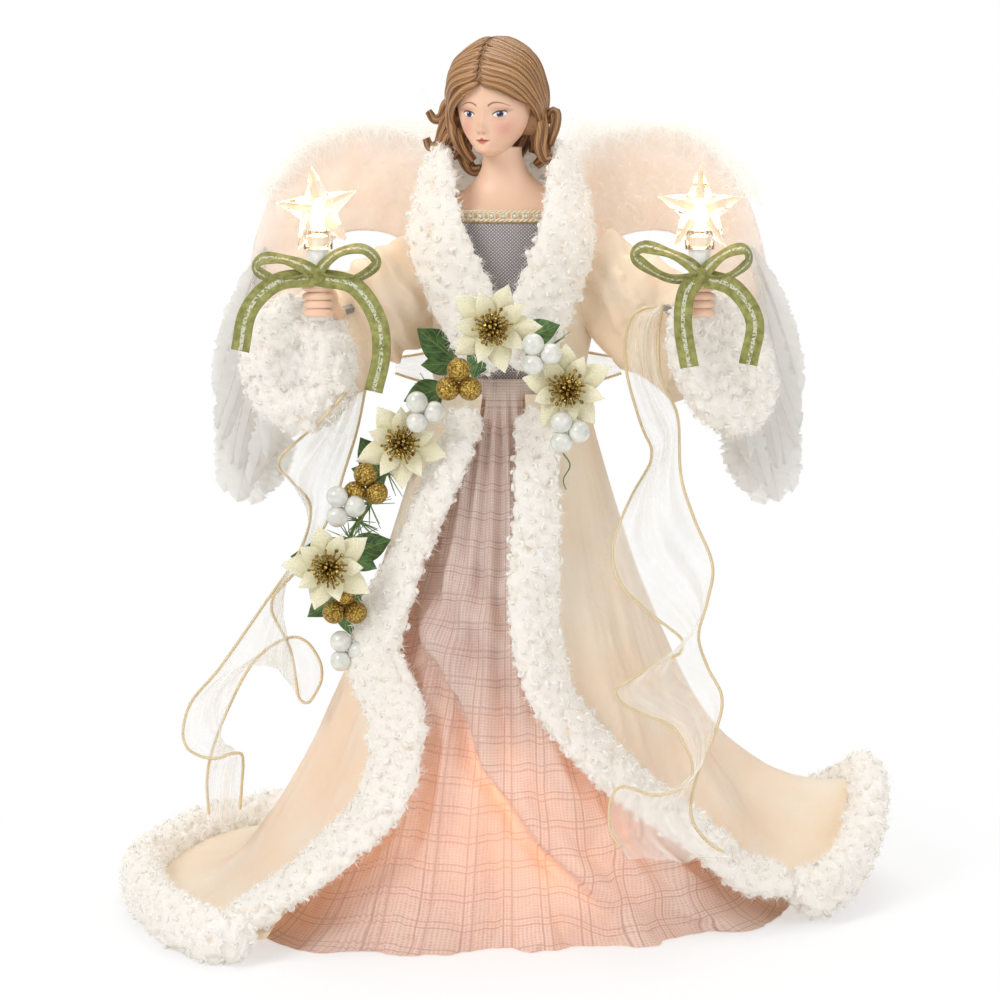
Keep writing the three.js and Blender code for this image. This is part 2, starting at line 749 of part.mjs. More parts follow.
// Bodice: woven front panel, with a braid along its neckline
const bodiceSpan = 66;
const bodiceOut = fit.hang * 3 + bodice.thick;
const bodicePanel = part(
  "bodice",
  0x8f8a96,
  seat(
    skin(
      (u, v) => wrapped(lerp(bodice.topZ, bodice.bottomZ, v), lerp(bodiceSpan, -bodiceSpan, u), bodiceOut),
      10,
      3,
      bodice.thick,
      { side: -1 },
    ),
    bust,
    torsoBlock,
  ),
);
const braidSpan = 50;
const braidPiece = part(
  "neckline_braid",
  0xece0bf,
  seat(
    band(
      [-1, -0.5, 0, 0.5, 1].map((s) =>
        wrapped(bodice.topZ + braid.halfHigh + fit.hang, s * braidSpan, braid.halfDeep - chest.deep * 0.05),
      ),
      10,
      6,
      () => [braid.halfHigh, braid.halfDeep],
      outwardFrom(0.3),
    ),
    bust,
    bodicePanel,
  ),
);

// Gown and coat skirts
const gownSkirt = part(
  "gown_skirt",
  0xc9b2ae,
  skin(gownPoint, 27, 8, gown.thick, { cyclic: true, floorZ: gown.hemZ, side: -1 }),
);
const coatSkirt = part("coat_skirt", 0xf0d9bb, seat(skin(coatPoint, 26, 9, coat.thick, { side: -1 }), gownSkirt));

// Coat top: open in front, from the waist to the shoulders
const coatTopSpan = 46;
const coatTopBottomZ = stand.waistZ + 2 * fit.hang;
const coatTopOut = bodiceOut + 2 * fit.hang + coatTop.thick;
function coatTopPoint(u, v) {
  const z = lerp(coatTop.topZ, coatTopBottomZ, v);
  const drop = smoothstep(z, stand.shoulderZ - chest.edge, coatTop.topZ) * chest.wide * 0.08;
  return wrapped(z, lerp(fullDeg - coatTopSpan, coatTopSpan, u), coatTopOut - drop);
}
const coatTopShell = part(
  "coat_top",
  0xefd5b6,
  seat(skin(coatTopPoint, 16, 4, coatTop.thick, { side: -1 }), bust, bodicePanel, armWire, torsoBlock),
);

// Curly pile shawl collar, crossed at the waist and standing behind the neck
// [heading, height share from the waist to the shoulder, lift off the coat as a share of its thickness]
const collarFrontShares = [[5, 0.16, 0.1], [15, 0.37, 0], [27, 0.64, 0], [40, 0.95, 0]];
const collarTopShares = [[0.88, -0.3, 1.3], [0.84, 0.45, 1.36], [0.5, 0.98, 1.38]];
const collarHalf = (side) => [
  ...collarFrontShares.map(([heading, high, lift]) =>
    wrapped(
      lerp(stand.waistZ, stand.shoulderZ, high),
      side * heading,
      coatTopOut + fit.hang + collar.halfThick * (1 + lift),
    ),
  ),
  ...collarTopShares.map(([x, y, high]) =>
    V(side * x * chest.wide, y * (chest.deep + coatTopOut), lerp(stand.waistZ, stand.shoulderZ, high)),
  ),
];
const collarPath = [
  ...collarHalf(-1),
  V(0, chest.deep + coatTopOut, lerp(stand.waistZ, stand.shoulderZ, 1.39)),
  ...collarHalf(1).reverse(),
];
collarPath.forEach((p) => (p.x += collar.shift * smoothstep(p.z, stand.waistZ, stand.shoulderZ)));
const collarRings = bandRings(
  collarPath,
  22,
  8,
  (t) => [collar.halfWide * (0.7 + 0.3 * Math.min(1, 6 * Math.min(t, 1 - t))), collar.halfThick],
  (p) => V(p.x - collar.shift, p.y * 1.4, chest.deep * 0.5).normalize(),
  false,
);
const nape = collarRings.length >> 1;
const collarTrim = part(
  "collar_trim",
  0xf4efe6,
  seat(
    join(loft(collarRings.slice(0, nape + 1)), loft(collarRings.slice(nape))),
    bust,
    braidPiece,
    bodicePanel,
    coatTopShell,
    hairCast,
  ),
);

// Pile trim down both front edges of the coat
const trimStations = [0.035, 0.16, 0.3, 0.44, 0.58, 0.72, 0.86, 0.97];
const frontTrims = {};
const trimEnds = {};
for (const [name, side] of [["left", -1], ["right", 1]]) {
  const stations = trimStations.map((v) => {
    const [right, left] = coatSpan(v);
    const heading = side > 0 ? right + 3 : left - 3;
    const face = coatFace(heading, v);
    const p = coatAt(heading, v).addScaledVector(face, frontTrim.halfThick + fit.hang);
    return { p, face };
  });
  const trim = band(
    stations.map((s) => s.p),
    18,
    8,
    (t) => [frontTrim.halfWide * (0.62 + 0.38 * Math.min(1, 3 * t)), frontTrim.halfThick],
    (p) => {
      const near = stations.reduce((a, b) => (b.p.distanceTo(p) < a.p.distanceTo(p) ? b : a));
      return near.face.clone();
    },
  );
  trimEnds[name] = stations.at(-1).p;
  frontTrims[name] = part(
    `front_trim_${name}`,
    0xf5f0e7,
    hangOn(trim, coatSkirt, gownSkirt, collarTrim, ...Object.values(frontTrims)),
  );
}

// Hem trim beyond the coat's edge, cut flat where it lies on the ground
const hemFrom = ramp(rightEdgeShares, 1);
const hemTo = fullDeg + ramp(leftEdgeShares, 1);
const hemStations = 26;
const hemPath = Array.from({ length: hemStations + 1 }, (_, k) => {
  const heading = lerp(hemFrom + 4, hemTo - 4, k / hemStations);
  const p = coatAt(heading, 1);
  p.add(outwardFrom(0)(p).multiplyScalar(hemTrim.halfThick + 2 * fit.seam));
  p.z = Math.max(hemTrim.halfHigh - hemTrim.cutFlat, p.z);
  return p;
});
// The ends turn in to meet the front trims.
hemPath.unshift(trimEnds.right.clone());
hemPath.push(trimEnds.left.clone());
const underFloor = new THREE.BoxGeometry(1, 1, 1)
  .translate(0, 0, -0.5)
  .scale(4 * stand.halfWidth, 4 * stand.halfWidth, stand.halfWidth);
const hemTrimBand = part(
  "hem_trim",
  0xf6f1e8,
  hangOn(
    cutAway(
      band(hemPath, 30, 8, () => [hemTrim.halfHigh, hemTrim.halfThick], outwardFrom(0)),
      underFloor,
    ),
    coatSkirt,
    gownSkirt,
    frontTrims.left,
    frontTrims.right,
  ),
);

// Hands with star lamps, bows, sleeves and cuffs
const starTurns = { left: 20, right: -6 };
const starRolls = { left: -8, right: 0 };
const sideParts = {};
for (const [name, side] of [["left", -1], ["right", 1]]) {
  const [cx, cy] = [side * hand.x, hand.y];
  const socketZ = lamp.holderTopZ - lamp.boreDepth;
  const holder = part(
    `lamp_holder_${name}`,
    0xf4f4f2,
    lathe(
      [
        [0, lamp.holderBottomZ],
        [lamp.holderR, lamp.holderBottomZ],
        [lamp.holderR, lamp.holderTopZ],
        [lamp.boreR, lamp.holderTopZ],
        [lamp.boreR, socketZ],
        [0, socketZ],
      ],
      12,
    ).translate(cx, cy, 0),
    0.4,
  );
  const neckZ = lamp.holderTopZ + fit.hang;
  const bulb = part(
    `lamp_bulb_${name}`,
    0xfff2cc,
    lathe(
      [
        [0, socketZ + fit.hang],
        [lamp.baseR, socketZ + fit.hang],
        [lamp.baseR, neckZ],
        [lamp.bulbR, neckZ + 2 * fit.hang],
        [lamp.bulbR, lamp.bulbTopZ - 2 * lamp.bulbR],
        [lamp.bulbR * 0.72, lamp.bulbTopZ - lamp.bulbR * 0.8],
        [0, lamp.bulbTopZ],
      ],
      12,
    ).translate(cx, cy, 0),
    0.1,
  );

  // Faceted five-point star on a collar, bored for the holder and the bulb
  const starRing = (y, scale) =>
    Array.from({ length: 10 }, (_, k) => {
      const r = scale * star.pointR * (k % 2 ? star.notchShare : 1);
      return V(r * Math.sin((TURN * k) / 10), y, r * Math.cos((TURN * k) / 10));
    });
  const crown = 0.2;
  const starBody = loft([
    starRing(-star.halfThick, crown),
    starRing(-star.rimHalf, 1),
    starRing(star.rimHalf, 1),
    starRing(star.halfThick, crown),
  ])
    .rotateY(rad(starRolls[name]))
    .translate(0, 0, star.centreZ);
  const seatBore = rod(
    lamp.holderR + star.seatClear,
    star.collarBottomZ - fit.overrun,
    lamp.holderTopZ + star.bulbClear,
    12,
  );
  const bulbBore = rod(lamp.bulbR + star.bulbClear, lamp.holderTopZ, lamp.bulbTopZ + star.bulbClear, 12);
  const cover = part(
    `star_cover_${name}`,
    0xfdf3e0,
    cutAway(cutAway(join(starBody, rod(star.collarR, star.collarBottomZ, star.centreZ, 12)), seatBore), bulbBore)
      .rotateZ(rad(starTurns[name]))
      .translate(cx, cy, 0),
    0.08,
  );

  // Cast fist: a palm with four fingers round the holder
  const palm = ball(1, 6, 4).scale(hand.wide, hand.deep, hand.high).translate(cx - side * hand.wide * 0.3, cy + hand.deep * 0.3, hand.z);
  const fingers = [-1.5, -0.5, 0.5, 1.5].map((k) =>
    wire(
      [-1.25, -0.45, 0.45, 1.2].map((s) =>
        V(cx + Math.sin(s) * hand.wide, cy - Math.cos(s) * hand.deep * 1.1, hand.z + k * hand.fingerR * 2.06),
      ),
      hand.fingerR,
      3,
      4,
    ),
  );
  const wrist = wire(
    [V(side * arm.wristX, arm.wristY, arm.wristZ), V(cx - side * hand.wide * 0.3, cy + hand.deep * 0.3, hand.z)],
    hand.deep * 0.72,
    1,
    8,
  );
  const fist = part(`hand_${name}`, 0xe6bb9b, seat(join(palm, ...fingers, wrist), holder, armWire), 0.5);

  // Ribbon bow tied to the holder above the fist
  const knotZ = hand.z + hand.high + ribbon.knotR * 0.9;
  const front = cy - lamp.holderR - fit.seam;
  const knot = ball(1, 6, 4).scale(ribbon.knotR * 1.15, ribbon.knotR * 0.8, ribbon.knotR).translate(cx, front - ribbon.knotR * 0.8, knotZ);
  const strap = (shares, closed) => {
    const points = shares.map(([x, y, z]) =>
      V(cx + x * ribbon.loopReach, front - ribbon.knotR + y * ribbon.loopReach, knotZ + z * ribbon.loopReach),
    );
    const middle = points.reduce((sum, p) => sum.add(p), V(0, 0, 0)).divideScalar(points.length);
    const fromMiddle = (p) => V(p.x - middle.x, -0.5 * p.distanceTo(middle), p.z - middle.z);
    return band(
      points,
      closed ? 9 : 5,
      4,
      () => [ribbon.wide / 2, ribbon.thick / 2],
      closed ? fromMiddle : () => V(0, -1, 0.2),
      closed,
    );
  };
  const loopShares = (s) => [
    [s * 0.04, 0, 0.04],
    [s * 0.42, -0.03, 0.38],
    [s * 0.9, 0, 0.46],
    [s * 1.06, 0.02, 0.2],
    [s * 0.62, 0, -0.06],
  ];
  const drop = ribbon.tailDrop / ribbon.loopReach;
  const tailShares = (s, reachShare) => [
    [s * 0.04, -0.02, 0],
    [s * reachShare * 0.7, -0.2, -0.04 * drop],
    [s * reachShare, -0.36, -0.45 * drop],
    [s * reachShare * 1.02, -0.42, -drop],
  ];
  const tails = side < 0 ? [tailShares(-1, 1.3), tailShares(1, 0.95)] : [tailShares(-1, 0.2), tailShares(1, 0.98)];
  const bow = part(
    `bow_${name}`,
    0x8f9a3e,
    seat(
      join(knot, strap(loopShares(-1), true), strap(loopShares(1), true), ...tails.map((t) => strap(t, false))),
      holder,
      fist,
      cover,
    ),
  );

  // Stuffed sleeve, cut to the side of the coat
  const armpit = torso.chestWide + coatTopOut;
  const cuffAt = side < 0 ? V(cuff.leftX, cuff.leftY, cuff.z) : V(cuff.rightX, cuff.rightY, cuff.z);
  const sleeveBody = part(
    `sleeve_${name}`,
    0xf0d6b8,
    seat(
      band(
        [
          V(side * armpit * 0.85, 0, stand.shoulderZ - sleeve.startHigh * 0.9),
          V(side * armpit * 1.25, arm.elbowY * 0.4, stand.shoulderZ - sleeve.startHigh * 1.35),
          V(side * lerp(armpit, Math.abs(cuffAt.x), 0.66), arm.elbowY * 1.2, cuffAt.z + sleeve.dropZ * 0.6),
          V(cuffAt.x - side * cuff.lip * 0.6, cuffAt.y + cuff.lip * 0.7, cuffAt.z + sleeve.dropZ * 0.15),
        ],
        6,
        10,
        (t) => [lerp(sleeve.startHigh, sleeve.endHigh, t), lerp(sleeve.startDeep, sleeve.endDeep, t)],
        (p, t) => V(side * -0.2, lerp(1, 0.6, t), 0.1),
      ),
      coatTopShell,
      collarTrim,
      armWire,
      fist,
      coatSkirt,
    ),
  );

  // Curly pile cuff: a soft ring round the sleeve's mouth, open to the front
  const stretch = side < 0 ? V(1, 1, 0.96) : V(0.78, 1, 1.2);
  const cuffRings = Array.from({ length: 10 }, (_, k) => {
    const across = V(Math.cos((TURN * k) / 10), 0, Math.sin((TURN * k) / 10));
    const middle = V(across.x * cuff.halfWide * stretch.x, 0, across.z * cuff.halfHigh * stretch.z);
    return oval(middle, across, V(0, 1, 0), cuff.halfThick, cuff.lip, 6);
  });
  const cuffRing = part(
    `cuff_${name}`,
    0xf5f0e6,
    seat(
      loft(cuffRings, { cyclic: true })
        .rotateY(side < 0 ? rad(-12) : rad(-32))
        .rotateZ(side < 0 ? rad(-14) : rad(32))
        .translate(cuffAt.x, cuffAt.y, cuffAt.z),
      sleeveBody,
      grow(fist, fit.seam),
      holder,
      bow,
      armWire,
    ),
  );
  sideParts[name] = { holder, bulb, cover, fist, bow, sleeveBody, cuffRing };
}

// Wings: felt pads on a bracket, long flight feathers and a down edging
const bracketY = wing.backY - wing.padThick / 2 - bracket.thick / 2 - fit.hang;
const backPlate = part(
  "wing_bracket",
  0xb9b9b4,
  seat(
    new THREE.BoxGeometry(bracket.wide, bracket.thick, bracket.high).translate(0, bracketY, bracket.centreZ),
    coatTopShell,
  ),
  0.6,
  0.4,
);

// [across, height] shares of the pad's outer edge, from the root over the top to the tip, and of its inner edge
const padOuterShares = [[0, 0.62], [0.14, 0.9], [0.34, 1.0], [0.62, 0.99], [0.82, 0.86], [0.94, 0.66], [0.99, 0.42], [1.02, 0.16], [0.98, 0]];
const padInnerShares = [[0, 0.44], [0.14, 0.56], [0.29, 0.63], [0.42, 0.67], [0.58, 0.66], [0.7, 0.56], [0.79, 0.36], [0.84, 0.16], [0.9, 0]];
const wingHigh = wing.topZ - wing.tipZ;
const wingSpan = wing.spanX - wing.rootX;
const bowBack = (across) => wing.backY + wing.sweep * Math.max(0, across) ** 2;
const onWing = (side, [across, high], back = 0) =>
  V(side * (wing.rootX + across * wingSpan), bowBack(across) + back, wing.tipZ + high * wingHigh);

// One feather: a thin blade, widest past its middle, from root to tip
const bladeShares = [[0, 0.35], [0.45, 0.95], [0.82, 0.9], [1, 0.2]];
function feather(root, tip, halfWide, thick) {
  const along = tip.clone().sub(root);
  const across = V(along.z, 0, -along.x).normalize();
  return loft(
    bladeShares.map(([t, wide]) =>
      oval(root.clone().addScaledVector(along, t), across, V(0, 1, 0), halfWide * wide, thick / 2, 4),
    ),
  );
}

// [root across, root height, tip across, tip height] of each flight feather
const flightShares = [
  [0.84, 0.6, 1.08, 0.14],
  [0.92, 0.38, 1.12, -0.06],
  [0.93, 0.2, 1.1, -0.2],
  [0.9, 0.1, 0.98, -0.24],
  [0.85, 0.18, 0.86, -0.14],
];
for (const [name, side] of [["left", -1], ["right", 1]]) {
  const outer = new THREE.CatmullRomCurve3(padOuterShares.map((s) => onWing(side, s)));
  const inner = new THREE.CatmullRomCurve3(padInnerShares.map((s) => onWing(side, s)));
  const half = V(0, wing.padThick / 2, 0);
  const padRings = Array.from({ length: 11 }, (_, i) => {
    const row = [outer.getPoint(i / 10), inner.getPoint(i / 10)];
    return [...row.map((p) => p.clone().sub(half)), ...row.reverse().map((p) => p.clone().add(half))];
  });
  const pad = part(`wing_pad_${name}`, 0xf3d9c4, seat(loft(padRings, { strip: true }), backPlate));

  const flightBack = wing.padThick / 2 + wing.featherThick + fit.seam;
  const flight = flightShares.map(([fromX, fromZ, toX, toZ], k) => {
    const lay = flightBack + (k % 3) * 1.3 * wing.featherThick;
    return feather(onWing(side, [fromX, fromZ], lay), onWing(side, [toX, toZ], lay), wing.featherHalfWide, wing.featherThick);
  });
  const rib = band(
    flightShares.map(([x, z]) => onWing(side, [x, z + 0.02], flightBack + 1.3 * wing.featherThick)),
    4,
    4,
    () => [wing.featherHalfWide * 0.4, wing.featherThick * 2],
    () => V(0, 1, 0),
  );
  const flightFan = part(`wing_flight_feathers_${name}`, 0xf6f6f4, seat(join(rib, ...flight), pad));

  const downPath = Array.from({ length: 9 }, (_, i) => {
    const t = 0.05 + (0.86 * i) / 8;
    const along = outer.getTangent(t);
    const off = V(along.z * side, 0, -along.x * side).normalize().negate();
    const p = outer.getPoint(t).addScaledVector(off, wing.downHalfWide + fit.hang);
    p.y += wing.padThick / 2 - wing.downHalfDeep;
    return p;
  });
  part(
    `wing_down_${name}`,
    0xfafaf8,
    seat(
      band(
        downPath,
        16,
        6,
        (t) => {
          const tuft = 0.92 + 0.12 * Math.cos(t * TURN * 11);
          return [wing.downHalfWide * (1.25 - 0.5 * t) * tuft, wing.downHalfDeep * tuft];
        },
        () => V(0, 1, 0),
      ),
      pad,
      flightFan,
      backPlate,
      coatTopShell,
      collarTrim,
      hairCast,
    ),
  );
}

// Garland: a wired vine with leaves, needles and a tendril, then flowers, berries and pearls.
// Places are [across, height] shares, seen from the front.
const garlandShares = {
  vine: [[0.16, 0.59], [0.15, 0.625], [0.06, 0.645], [-0.045, 0.655], [-0.13, 0.625], [-0.21, 0.575], [-0.3, 0.53], [-0.37, 0.475], [-0.44, 0.43], [-0.47, 0.38], [-0.46, 0.33]],
  flowers: [[-0.045, 0.668, 0], [0.16, 0.602, 22], [-0.3, 0.538, -18], [-0.5, 0.406, -36]],
  gold: [[-0.135, 0.61], [-0.395, 0.49], [-0.455, 0.357]],
  pearls: [[0.08, 0.64], [0.157, 0.556], [-0.235, 0.574], [-0.455, 0.47], [-0.45, 0.307]],
  leaves: [[-0.13, 0.64, 150], [-0.04, 0.64, 250], [-0.36, 0.49, 118], [-0.28, 0.53, -30], [-0.47, 0.4, 180], [-0.45, 0.4, -15], [-0.46, 0.36, 245], [0.1, 0.63, -70]],
  needles: [[-0.2, 0.58], [-0.4, 0.45], [-0.42, 0.44], [0.16, 0.6], [0.1, 0.638]],
};
const garlandHigh = stand.headZ * 1.104;
const clothes = [
  collarTrim,
  frontTrims.left,
  frontTrims.right,
  coatSkirt,
  gownSkirt,
  bodicePanel,
  coatTopShell,
  sideParts.left.sleeveBody,
  sideParts.right.sleeveBody,
  sideParts.left.cuffRing,
  sideParts.right.cuffRing,
];
// The vine lies on what is behind it, and runs on level where it passes the coat's side.
const vinePoints = [];
for (const [x, high] of garlandShares.vine) {
  const start = V(x * stand.halfWidth, -2 * stand.halfWidth, high * garlandHigh);
  const way = travel(ball(2 * vine.r).translate(start.x, start.y, start.z), V(0, 1, 0), clothes);
  const y = Number.isFinite(way) ? start.y + way - fit.seam : vinePoints.at(-1).y;
  vinePoints.push(start.setY(y));
}
const vineSamples = new THREE.CatmullRomCurve3(vinePoints).getSpacedPoints(60);
const nearVine = (x, high) => {
  const at = V(x * stand.halfWidth, 0, high * garlandHigh);
  const off = (q) => Math.hypot(q.x - at.x, q.z - at.z);
  return vineSamples.reduce((best, p) => (off(p) < off(best) ? p : best)).clone();
};

// A leaf or petal: a thin pointed blade that starts at base and cups forward
const leafShares = [[0, 0.25], [0.4, 1], [0.75, 0.75], [1, 0.06]];
function leafBlade(base, headingDeg, long, wide, thick, cup) {
  const along = V(Math.cos(rad(headingDeg)), 0, Math.sin(rad(headingDeg)));
  const across = V(-along.z, 0, along.x);
  return loft(
    leafShares.map(([t, w]) => {
      const centre = base.clone().addScaledVector(along, long * t);
      centre.y -= cup * t * t;
      return oval(centre, across, V(0, 1, 0), (wide / 2) * w, thick / 2, 4);
    }),
  );
}
const leaves = garlandShares.leaves.map(([x, high, turn]) =>
  leafBlade(nearVine(x, high), turn, vine.leafLong, vine.leafWide, vine.leafThick, vine.leafThick * 3),
);
const needles = garlandShares.needles.flatMap(([x, high]) =>
  [60, 175, 300].map((turn) => {
    const root = nearVine(x, high);
    const end = root.clone().add(V(Math.cos(rad(turn)), -0.25, Math.sin(rad(turn))).multiplyScalar(vine.needleLong));
    return wire([root, end], vine.needleR, 1, 3);
  }),
);
// The tendril is a shrinking helix; its turns must stay clear of each other.
function tendrilPoint(t) {
  const curl = vine.curlR * (1 - t * 0.6) * Math.min(1, 5 * t);
  const angle = TURN * vine.curlTurns * t;
  const forward = -curl * Math.cos(angle) - vine.curlR * t;
  return vinePoints[0].clone().add(V(curl * Math.sin(angle), forward, -t * vine.curlLong));
}
const alongTendril = (count) => Array.from({ length: count + 1 }, (_, k) => tendrilPoint(k / count));
const tendril = wire(alongTendril(20), vine.needleR, 20, 3);
const tendrilProbes = alongTendril(300);
let tendrilGap = Infinity;
tendrilProbes.forEach((p, i) => {
  for (let j = i + 50; j < tendrilProbes.length; j++) {
    tendrilGap = Math.min(tendrilGap, p.distanceTo(tendrilProbes[j]) - 2 * vine.needleR);
  }
});
console.log(`tendril's least gap to itself: ${tendrilGap.toFixed(2)} mm`);
const vinePiece = part(
  "garland_vine",
  0x3e5a2c,
  rest(join(band(vinePoints, 22, 4, () => [vine.r, vine.r], () => V(0.2, 1, 0.1)), ...leaves, ...needles, tendril), clothes),
);

const garland = [vinePiece];
garlandShares.flowers.forEach(([x, high, turn], k) => {
  const eye = rod(flower.eyeR, -flower.eyeDeep / 2, flower.eyeDeep / 2, 8).rotateX(Math.PI / 2);
  const petals = Array.from({ length: flower.petals }, (_, i) => {
    const turnDeg = (fullDeg * i) / flower.petals;
    const base = V(Math.cos(rad(turnDeg)), 0, Math.sin(rad(turnDeg))).multiplyScalar(flower.eyeR * 0.8);
    return leafBlade(base, turnDeg, flower.petalLong, flower.petalWide, flower.petalThick, -flower.cup);
  });
  const bloom = join(eye, ...petals)
    .rotateZ(rad(turn))
    .translate(x * stand.halfWidth, 0, high * garlandHigh);
  garland.push(part(`poinsettia_${k + 1}`, 0xe9e2c0, rest(bloom, [...clothes, ...garland])));
});
const clusters = [
  ["gold_berries", garlandShares.gold, goldBerry, 0xa8842c, 0],
  ["pearl_cluster", garlandShares.pearls, pearl, 0xe8ebe6, 30],
];
for (const [label, places, size, colour, turn] of clusters) {
  places.forEach(([x, high], k) => {
    const berries = [90, 210, 330].map((a) =>
      ball(size.r, 8, 5).translate(size.spread * Math.cos(rad(a + turn)), 0, size.spread * Math.sin(rad(a + turn))),
    );
    const cluster = join(...berries).translate(x * stand.halfWidth, 0, high * garlandHigh);
    garland.push(part(`${label}_${k + 1}`, colour, rest(cluster, [...clothes, ...garland]), 0.35));
  });
}

// Sheer scarf: a length that falls from each sleeve and a span behind the back.
// Rows of two edge points [x, y, z], shares of the half width, the chest depth and the eye height.
const fallLeftShares = [
  [[-0.42, -0.6, 0.69], [-0.64, -0.6, 0.67]],
  [[-0.46, -1.4, 0.57], [-0.7, -0.5, 0.53]],
  [[-0.52, -1.7, 0.5], [-0.74, -0.3, 0.46]],
  [[-0.58, -0.9, 0.42], [-0.76, -1.2, 0.37]],
  [[-0.57, -1.5, 0.33], [-0.8, -1.6, 0.31]],
  [[-0.64, -0.8, 0.25], [-0.88, -2, 0.27]],
  [[-0.69, -1.8, 0.17], [-0.94, -1.4, 0.21]],
  [[-0.75, -2, 0.11], [-0.9, -1.8, 0.13]],
];
const fallRightShares = [
  [[0.44, -1.4, 0.72], [0.56, -1.7, 0.69]],
  [[0.41, -1.8, 0.64], [0.58, -1.5, 0.6]],
  [[0.48, -2.3, 0.54], [0.62, -1.8, 0.5]],
  [[0.36, -2.6, 0.42], [0.6, -2.2, 0.42]],
  [[0.33, -3.4, 0.32], [0.52, -2.6, 0.33]],
  [[0.32, -4.2, 0.24], [0.58, -3, 0.25]],
  [[0.32, -4.9, 0.16], [0.52, -3.7, 0.16]],
  [[0.28, -5.4, 0.12], [0.6, -4.2, 0.12]],
];
function scarfFall(rows) {
  const place = ([x, y, z]) => V(x * stand.halfWidth, y * chest.deep, z * stand.headZ);
  const edges = [0, 1].map((k) => new THREE.CatmullRomCurve3(rows.map((row) => place(row[k]))));
  return skin(
    (u, v) => {
      const at = clamp(u, 0, 1);
      const p = edges[0].getPoint(at).lerp(edges[1].getPoint(at), v);
      p.y += scarf.foldDeep * Math.sin(TURN * (scarf.folds * v + at)) * Math.sin(Math.PI * v) ** 0.5;
      return p;
    },
    15,
    5,
    scarf.thick,
    { way: V(0, -1, 0) },
  );
}
const dressed = [
  ...clothes,
  hemTrimBand,
  ...garland,
  ...Object.values(sideParts).flatMap((s) => [s.fist, s.bow, s.holder]),
];
part("scarf_left", 0xf2f2ee, hangOn(scarfFall(fallLeftShares), ...dressed));
part("scarf_right", 0xf2f2ee, hangOn(scarfFall(fallRightShares), ...dressed));
const behindBack = torso.waistR + coatTopOut + fit.seam + scarf.thick;
const backRoute = [-1.5, -1.25, -0.8, 0, 0.8, 1.25, 1.5].map((s) =>
  V(s * chest.wide, behindBack * (Math.abs(s) > 1 ? 0.8 : 1.06), scarf.backZ - (1 - Math.abs(s) / 1.5) * scarf.backHalfHigh * 0.4),
);
part(
  "scarf_back",
  0xf2f2ee,
  hangOn(band(backRoute, 14, 4, () => [scarf.backHalfHigh, scarf.thick], outwardFrom(0)), ...dressed),
);

// Light string: small lamps on the cone and the lead between them. [heading, height share of the cone]
const miniShares = [[-28, 0.11], [0, 0.27], [18, 0.1], [40, 0.15], [100, 0.2], [165, 0.12], [215, 0.22], [285, 0.17]];
const coneSlope = (cone.baseR - cone.topR) / (cone.height - cone.rimHeight);
const miniLights = miniShares.map(([heading, share], k) => {
  const z = share * cone.height - light.holderLong / 2;
  const foot = ahead(heading, coneRAt(z) * Math.cos(Math.PI / cone.sides) + light.holderR + fit.hang, z);
  const lean = V(-Math.sin(rad(heading)) * coneSlope, Math.cos(rad(heading)) * coneSlope, 1).normalize();
  const body = lathe(
    [
      [0, 0],
      [light.holderR, 0],
      [light.holderR, light.holderLong],
      [light.bulbR, light.holderLong],
      [0, light.holderLong + light.bulbLong],
    ],
    8,
  )
    .applyQuaternion(new THREE.Quaternion().setFromUnitVectors(V(0, 0, 1), lean))
    .translate(foot.x, foot.y, foot.z);
  return { geometry: part(`mini_light_${k + 1}`, 0xfff1cf, seat(body, coneBody), 0.3), heading, foot };
});
const leadPath = miniLights.flatMap(({ heading, foot }, k) => {
  const next = (miniShares[k + 1] ?? [miniShares[0][0] + fullDeg])[0];
  const between = lerp(heading, next, 0.5);
  const z = Math.max(light.leadR + cone.rimHeight + fit.hang, foot.z - light.holderLong * 0.4);
  return [foot.clone().setZ(foot.z - light.leadR), ahead(between, coneRAt(z) + light.leadR + light.leadClear, z)];
});
part(
  "light_lead",
  0xe6e6df,
  seat(
    band(leadPath.slice(0, -1), 28, 4, () => [light.leadR, light.leadR], outwardFrom(0)),
    coneBody,
    ...miniLights.map((m) => m.geometry),
  ),
);

const angel = new THREE.Group();
angel.name = "angel_tree_topper";
meshes.forEach((mesh) => angel.add(mesh));

export default angel;
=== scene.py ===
import math

import bmesh
import bpy
import numpy as np
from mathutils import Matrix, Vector, noise
from mathutils.bvhtree import BVHTree


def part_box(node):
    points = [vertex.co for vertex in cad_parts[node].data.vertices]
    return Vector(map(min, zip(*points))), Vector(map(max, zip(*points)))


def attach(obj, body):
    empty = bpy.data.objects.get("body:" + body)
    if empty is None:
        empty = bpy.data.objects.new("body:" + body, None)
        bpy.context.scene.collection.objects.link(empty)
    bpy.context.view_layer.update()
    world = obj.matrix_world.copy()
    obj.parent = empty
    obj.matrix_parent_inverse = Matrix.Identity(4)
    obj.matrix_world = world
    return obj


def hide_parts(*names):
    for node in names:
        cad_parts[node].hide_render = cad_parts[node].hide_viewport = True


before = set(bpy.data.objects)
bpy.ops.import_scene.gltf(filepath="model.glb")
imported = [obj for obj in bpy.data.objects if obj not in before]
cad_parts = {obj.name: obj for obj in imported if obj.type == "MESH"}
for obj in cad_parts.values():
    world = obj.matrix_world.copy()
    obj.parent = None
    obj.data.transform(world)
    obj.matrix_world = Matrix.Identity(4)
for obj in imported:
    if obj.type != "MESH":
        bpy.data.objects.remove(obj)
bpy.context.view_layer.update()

MM = 0.001
SIDES = ((-1, "left"), (1, "right"))
chance = np.random.default_rng(7)


# Numbers and shapes, all in millimetres
def vec(*xyz):
    return np.array(xyz, float)


def unit(v):
    v = np.asarray(v, float)
    return v / np.maximum(np.linalg.norm(v, axis=-1, keepdims=True), 1e-9)


def mix(a, b, t):
    return a + (b - a) * t


